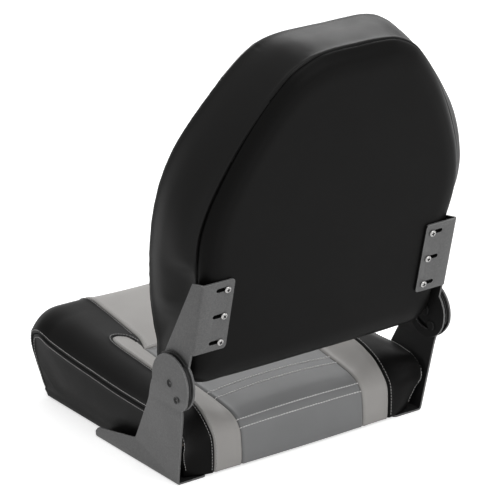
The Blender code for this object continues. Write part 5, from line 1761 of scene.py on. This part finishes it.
fitted = Recipe("fitted_fasteners", {
    "Fastener": "Object", "Turn": "Float", "Seed": "Int", "Material": "Material"})
pattern = fitted.node("GeometryNodeObjectInfo", None, {"Object": fitted.given["Fastener"]}, "Geometry")
spin = fitted.node("FunctionNodeRandomValue", {"data_type": "FLOAT"}, {
    2: 0.0, 3: fitted.given["Turn"], "Seed": fitted.given["Seed"]}, 1)
turn = fitted.node("FunctionNodeAxisAngleToRotation", None, {"Axis": (0.0, 0.0, 1.0), "Angle": spin})
seated = fitted.node("FunctionNodeRotateRotation", {"rotation_space": "LOCAL"}, {
    "Rotation": facing(fitted, "Z", outward_of(fitted)), "Rotate By": turn})
dots = fitted.node("GeometryNodeMeshToPoints", None, {"Mesh": fitted.given["Geometry"]})
fitted.finished(fitted.node("GeometryNodeInstanceOnPoints", None, {
    "Points": dots, "Instance": pattern, "Rotation": seated}))


def fasteners(name, template, node_names, outward, finish):
    """A copy of the template at the middle of each solid, which it stands for."""
    middles = [(np.array(low) + np.array(high)) / 2 for low, high in map(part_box, node_names)]
    made = fitted.run(name, middles, [], outward, {
        "Fastener": template, "Turn": math.pi / 2, "Seed": 7, "Material": finish})
    made.data.set_sharp_from_angle(angle=math.radians(35))
    bpy.data.objects.remove(template)
    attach(made, body_of(nodes[node_names[0]]))
    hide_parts(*node_names)
    print(name, len(made.data.polygons), "faces for", len(node_names), "solids")


print("fastener recipe", len(fitted.tree.nodes), "nodes")

# %% [markdown]
# The backrest's screws have a wide pan head and a pressed cross. Those of the feet are
# countersunk, with a smaller cross. Both are as long as their solids.

# %% Screws
HALF_BACK_SCREW, SHANK, POINT_LENGTH = 0.00845, 0.0025, 0.0008
PAN_RADIUS, PAN_HEIGHT = 0.0052, 0.0026
PAN_CURVE = ((0.97, 1.0), (1.0, 0.86), (0.99, 0.55), (0.92, 0.30), (0.76, 0.11), (0.45, 0.02))
SUNK_RADIUS, SUNK_SHANK, SUNK_CONE = 0.0042, 0.0020, 0.0021


def screw_names(kind):
    return [f"{kind}_screw_{side}_{number}" for side in SIDES for number in (1, 2, 3)]


pan = turned("pan_head", [
    (0, -HALF_BACK_SCREW), (SHANK * 0.7, -HALF_BACK_SCREW), (SHANK, -HALF_BACK_SCREW + POINT_LENGTH),
    (SHANK, HALF_BACK_SCREW - PAN_HEIGHT),
    *[(PAN_RADIUS * wide, HALF_BACK_SCREW - PAN_HEIGHT * deep) for wide, deep in PAN_CURVE],
    (0, HALF_BACK_SCREW)])
cross_recess(pan, width=0.0020, length=0.0076, depth=0.0015, top=HALF_BACK_SCREW)
fasteners("back_pan_head_screws", pan, screw_names("back"), [-FORWARD] * 6, BRIGHT_STEEL)

low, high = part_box(screw_names("base")[0])
top = (high[2] - low[2]) / 2
sunk = turned("countersunk_head", [
    (0, -top), (SUNK_SHANK, -top), (SUNK_SHANK, top - SUNK_CONE), (SUNK_RADIUS, top - 0.0004),
    (SUNK_RADIUS, top - 0.00005), (SUNK_RADIUS * 0.96, top), (0, top)])
cross_recess(sunk, width=0.0010, length=0.0046, depth=0.0012, top=top)
fasteners("base_countersunk_screws", sunk, screw_names("base"), [(0, 0, -1)] * 6, BRIGHT_STEEL)

# %% [markdown]
# A rivet has a flat head on the inside, which gets a painted shade, and is spread on the outside by
# a punch, which leaves a low ring round a dimple, with a painted shade in the dimple. Both ends come
# from one profile, written from the foot of the head to the middle of the dimple.

# %% Rivets
RIVETS = {"pivot_rivet_": (0.005, 0.009, 0.0066), "stop_rivet_": (0.004, 0.007, 0.0058)}
HEAD_HEIGHT, DIMPLE, PROUD = 0.0022, 0.0015, 0.0004
for kind, (shank, head, spread) in RIVETS.items():
    names = [kind + side for side in SIDES]
    low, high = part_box(names[0])
    top = (high[0] - low[0]) / 2
    foot = -top
    rivet = turned(kind + "pattern", [
        (0, foot), (head * 0.86, foot), (head * 0.96, foot + 0.0002), (head, foot + 0.0006),
        (head, foot + HEAD_HEIGHT), (shank, foot + HEAD_HEIGHT), (shank, top - PROUD * 0.9),
        (spread * 0.98, top - PROUD * 0.9), (spread, top - PROUD * 0.6),
        (spread * 0.98, top - PROUD * 0.15), (spread * 0.93, top), (spread * 0.86, top - 0.0001),
        (spread * 0.76, top - 0.0004), (shank * 0.90, top - DIMPLE * 0.7), (shank * 0.60, top - DIMPLE),
        (shank * 0.30, top - DIMPLE * 0.9), (0, top - DIMPLE * 0.8)])
    # Painted shade on the inner head and in the dimple.
    mark_painted_shade(rivet, lambda face: face.center.z < foot + HEAD_HEIGHT or (
        face.center.z > top - DIMPLE * 1.1 and shank * 0.3 < face.center.xy.length < spread * 0.88))
    fasteners(kind + "pair", rivet, names, [(1, 0, 0), (-1, 0, 0)], GREY_PAINT)

# %% [markdown]
# Solids whose shape is already right keep their mesh and only get a better finish.

# %% Finishes on the solids
NODE_FINISHES = (
    ("seat_bracket", GREY_PAINT), ("back_bracket", GREY_PAINT), ("hinge_plate", BLACK_PAINT),
    ("pivot_rivet", GREY_PAINT), ("stop_rivet", GREY_PAINT), ("hinge_spacer", BLACK_PLASTIC),
    ("seat_base", BASE_PLASTIC), ("back_board", PLYWOOD), ("back_screw", BRIGHT_STEEL),
    ("base_screw", BRIGHT_STEEL), ("pedestal_t_nut", BRIGHT_STEEL), ("back_t_nut", BRIGHT_STEEL))
for name, node in nodes.items():
    for start, finish in NODE_FINISHES:
        if name.startswith(start):
            node.data.materials.clear()
            node.data.materials.append(finish)
print("solids left showing", sum(not node.hide_render for node in nodes.values()))

# %% [markdown]
# A product photograph is taken on white paper under large soft lamps. The floor and the
# background are white to the camera and to reflections, and the floor keeps a soft shadow.

# %% Floor and world
FLOOR_HALF, PAPER_GAP = 30.0, 0.0002
SOFT_LIGHT, BACKGROUND = 0.38, 1.0


def seen_directly(tree):
    """1 for rays from the camera, off gloss and through glass, and 0 for light on its way round."""
    path = tree.node("ShaderNodeLightPath", out="Is Camera Ray")
    return (path + path.also("Is Glossy Ray") + path.also("Is Transmission Ray")).clamped()


corners = [(x * FLOOR_HALF, y * FLOOR_HALF, 0) for x, y in ((-1, -1), (1, -1), (1, 1), (-1, 1))]
floor = object_from("paper_floor", corners, [(0, 1, 2, 3)])
floor.data.transform(Matrix.Translation((0, 0, cad_box[0][2] - PAPER_GAP)))
paper = Finish("white_paper", 0.9)
paper.set(Base_Color=(0.82, 0.82, 0.82, 1.0), Emission_Strength=1.0)
paper.set(Emission_Color=paper.mix(seen_directly(paper), (0, 0, 0, 1), (0.62, 0.62, 0.62, 1)))
floor.data.materials.append(paper.material)

world = bpy.data.worlds.new("studio")
scene.world = world
world.use_nodes = True
world.node_tree.nodes.clear()
studio = Tree(world.node_tree)
soft, white = (studio.node("ShaderNodeBackground", None, {"Color": (1, 1, 1, 1), "Strength": strength})
               for strength in (SOFT_LIGHT, BACKGROUND))
seen = studio.node("ShaderNodeMixShader", None, {0: seen_directly(studio), 1: soft, 2: white})
studio.node("ShaderNodeOutputWorld", None, {"Surface": seen})
print("world", len(world.node_tree.nodes), "nodes")

# %% [markdown]
# Two large lamps from above make the highlights on the cushion's edges, one from behind lights
# the brackets and the rear, and two weak ones lift the left side and the front a little.

# %% Lamps
MIDDLE_OF_SEAT = (0.0, 0.0, 0.3)


def soft_lamp(name, place, size, power):
    """A round lamp that looks at the middle of the seat."""
    lamp = bpy.data.lights.new(name, "AREA")
    lamp.shape, lamp.size, lamp.energy = "DISK", size, power
    towards = Vector(MIDDLE_OF_SEAT) - Vector(place)
    made = placed(name, lamp)
    made.matrix_world = Matrix.Translation(place) @ towards.to_track_quat("-Z", "Y").to_matrix().to_4x4()


soft_lamp("overhead_lamp", (0.2, 1.0, 2.5), 1.8, 21.0)
soft_lamp("top_lamp", (-1.3, -1.1, 2.0), 1.4, 22.0)
soft_lamp("left_lamp", (2.3, -1.2, 1.1), 1.4, 2.0)
soft_lamp("rear_lamp", (-0.6, 2.8, 1.4), 1.6, 18.5)
soft_lamp("front_lamp", (-0.6, -2.6, 1.8), 1.8, 6.0)
scene.view_settings.view_transform = "Standard"
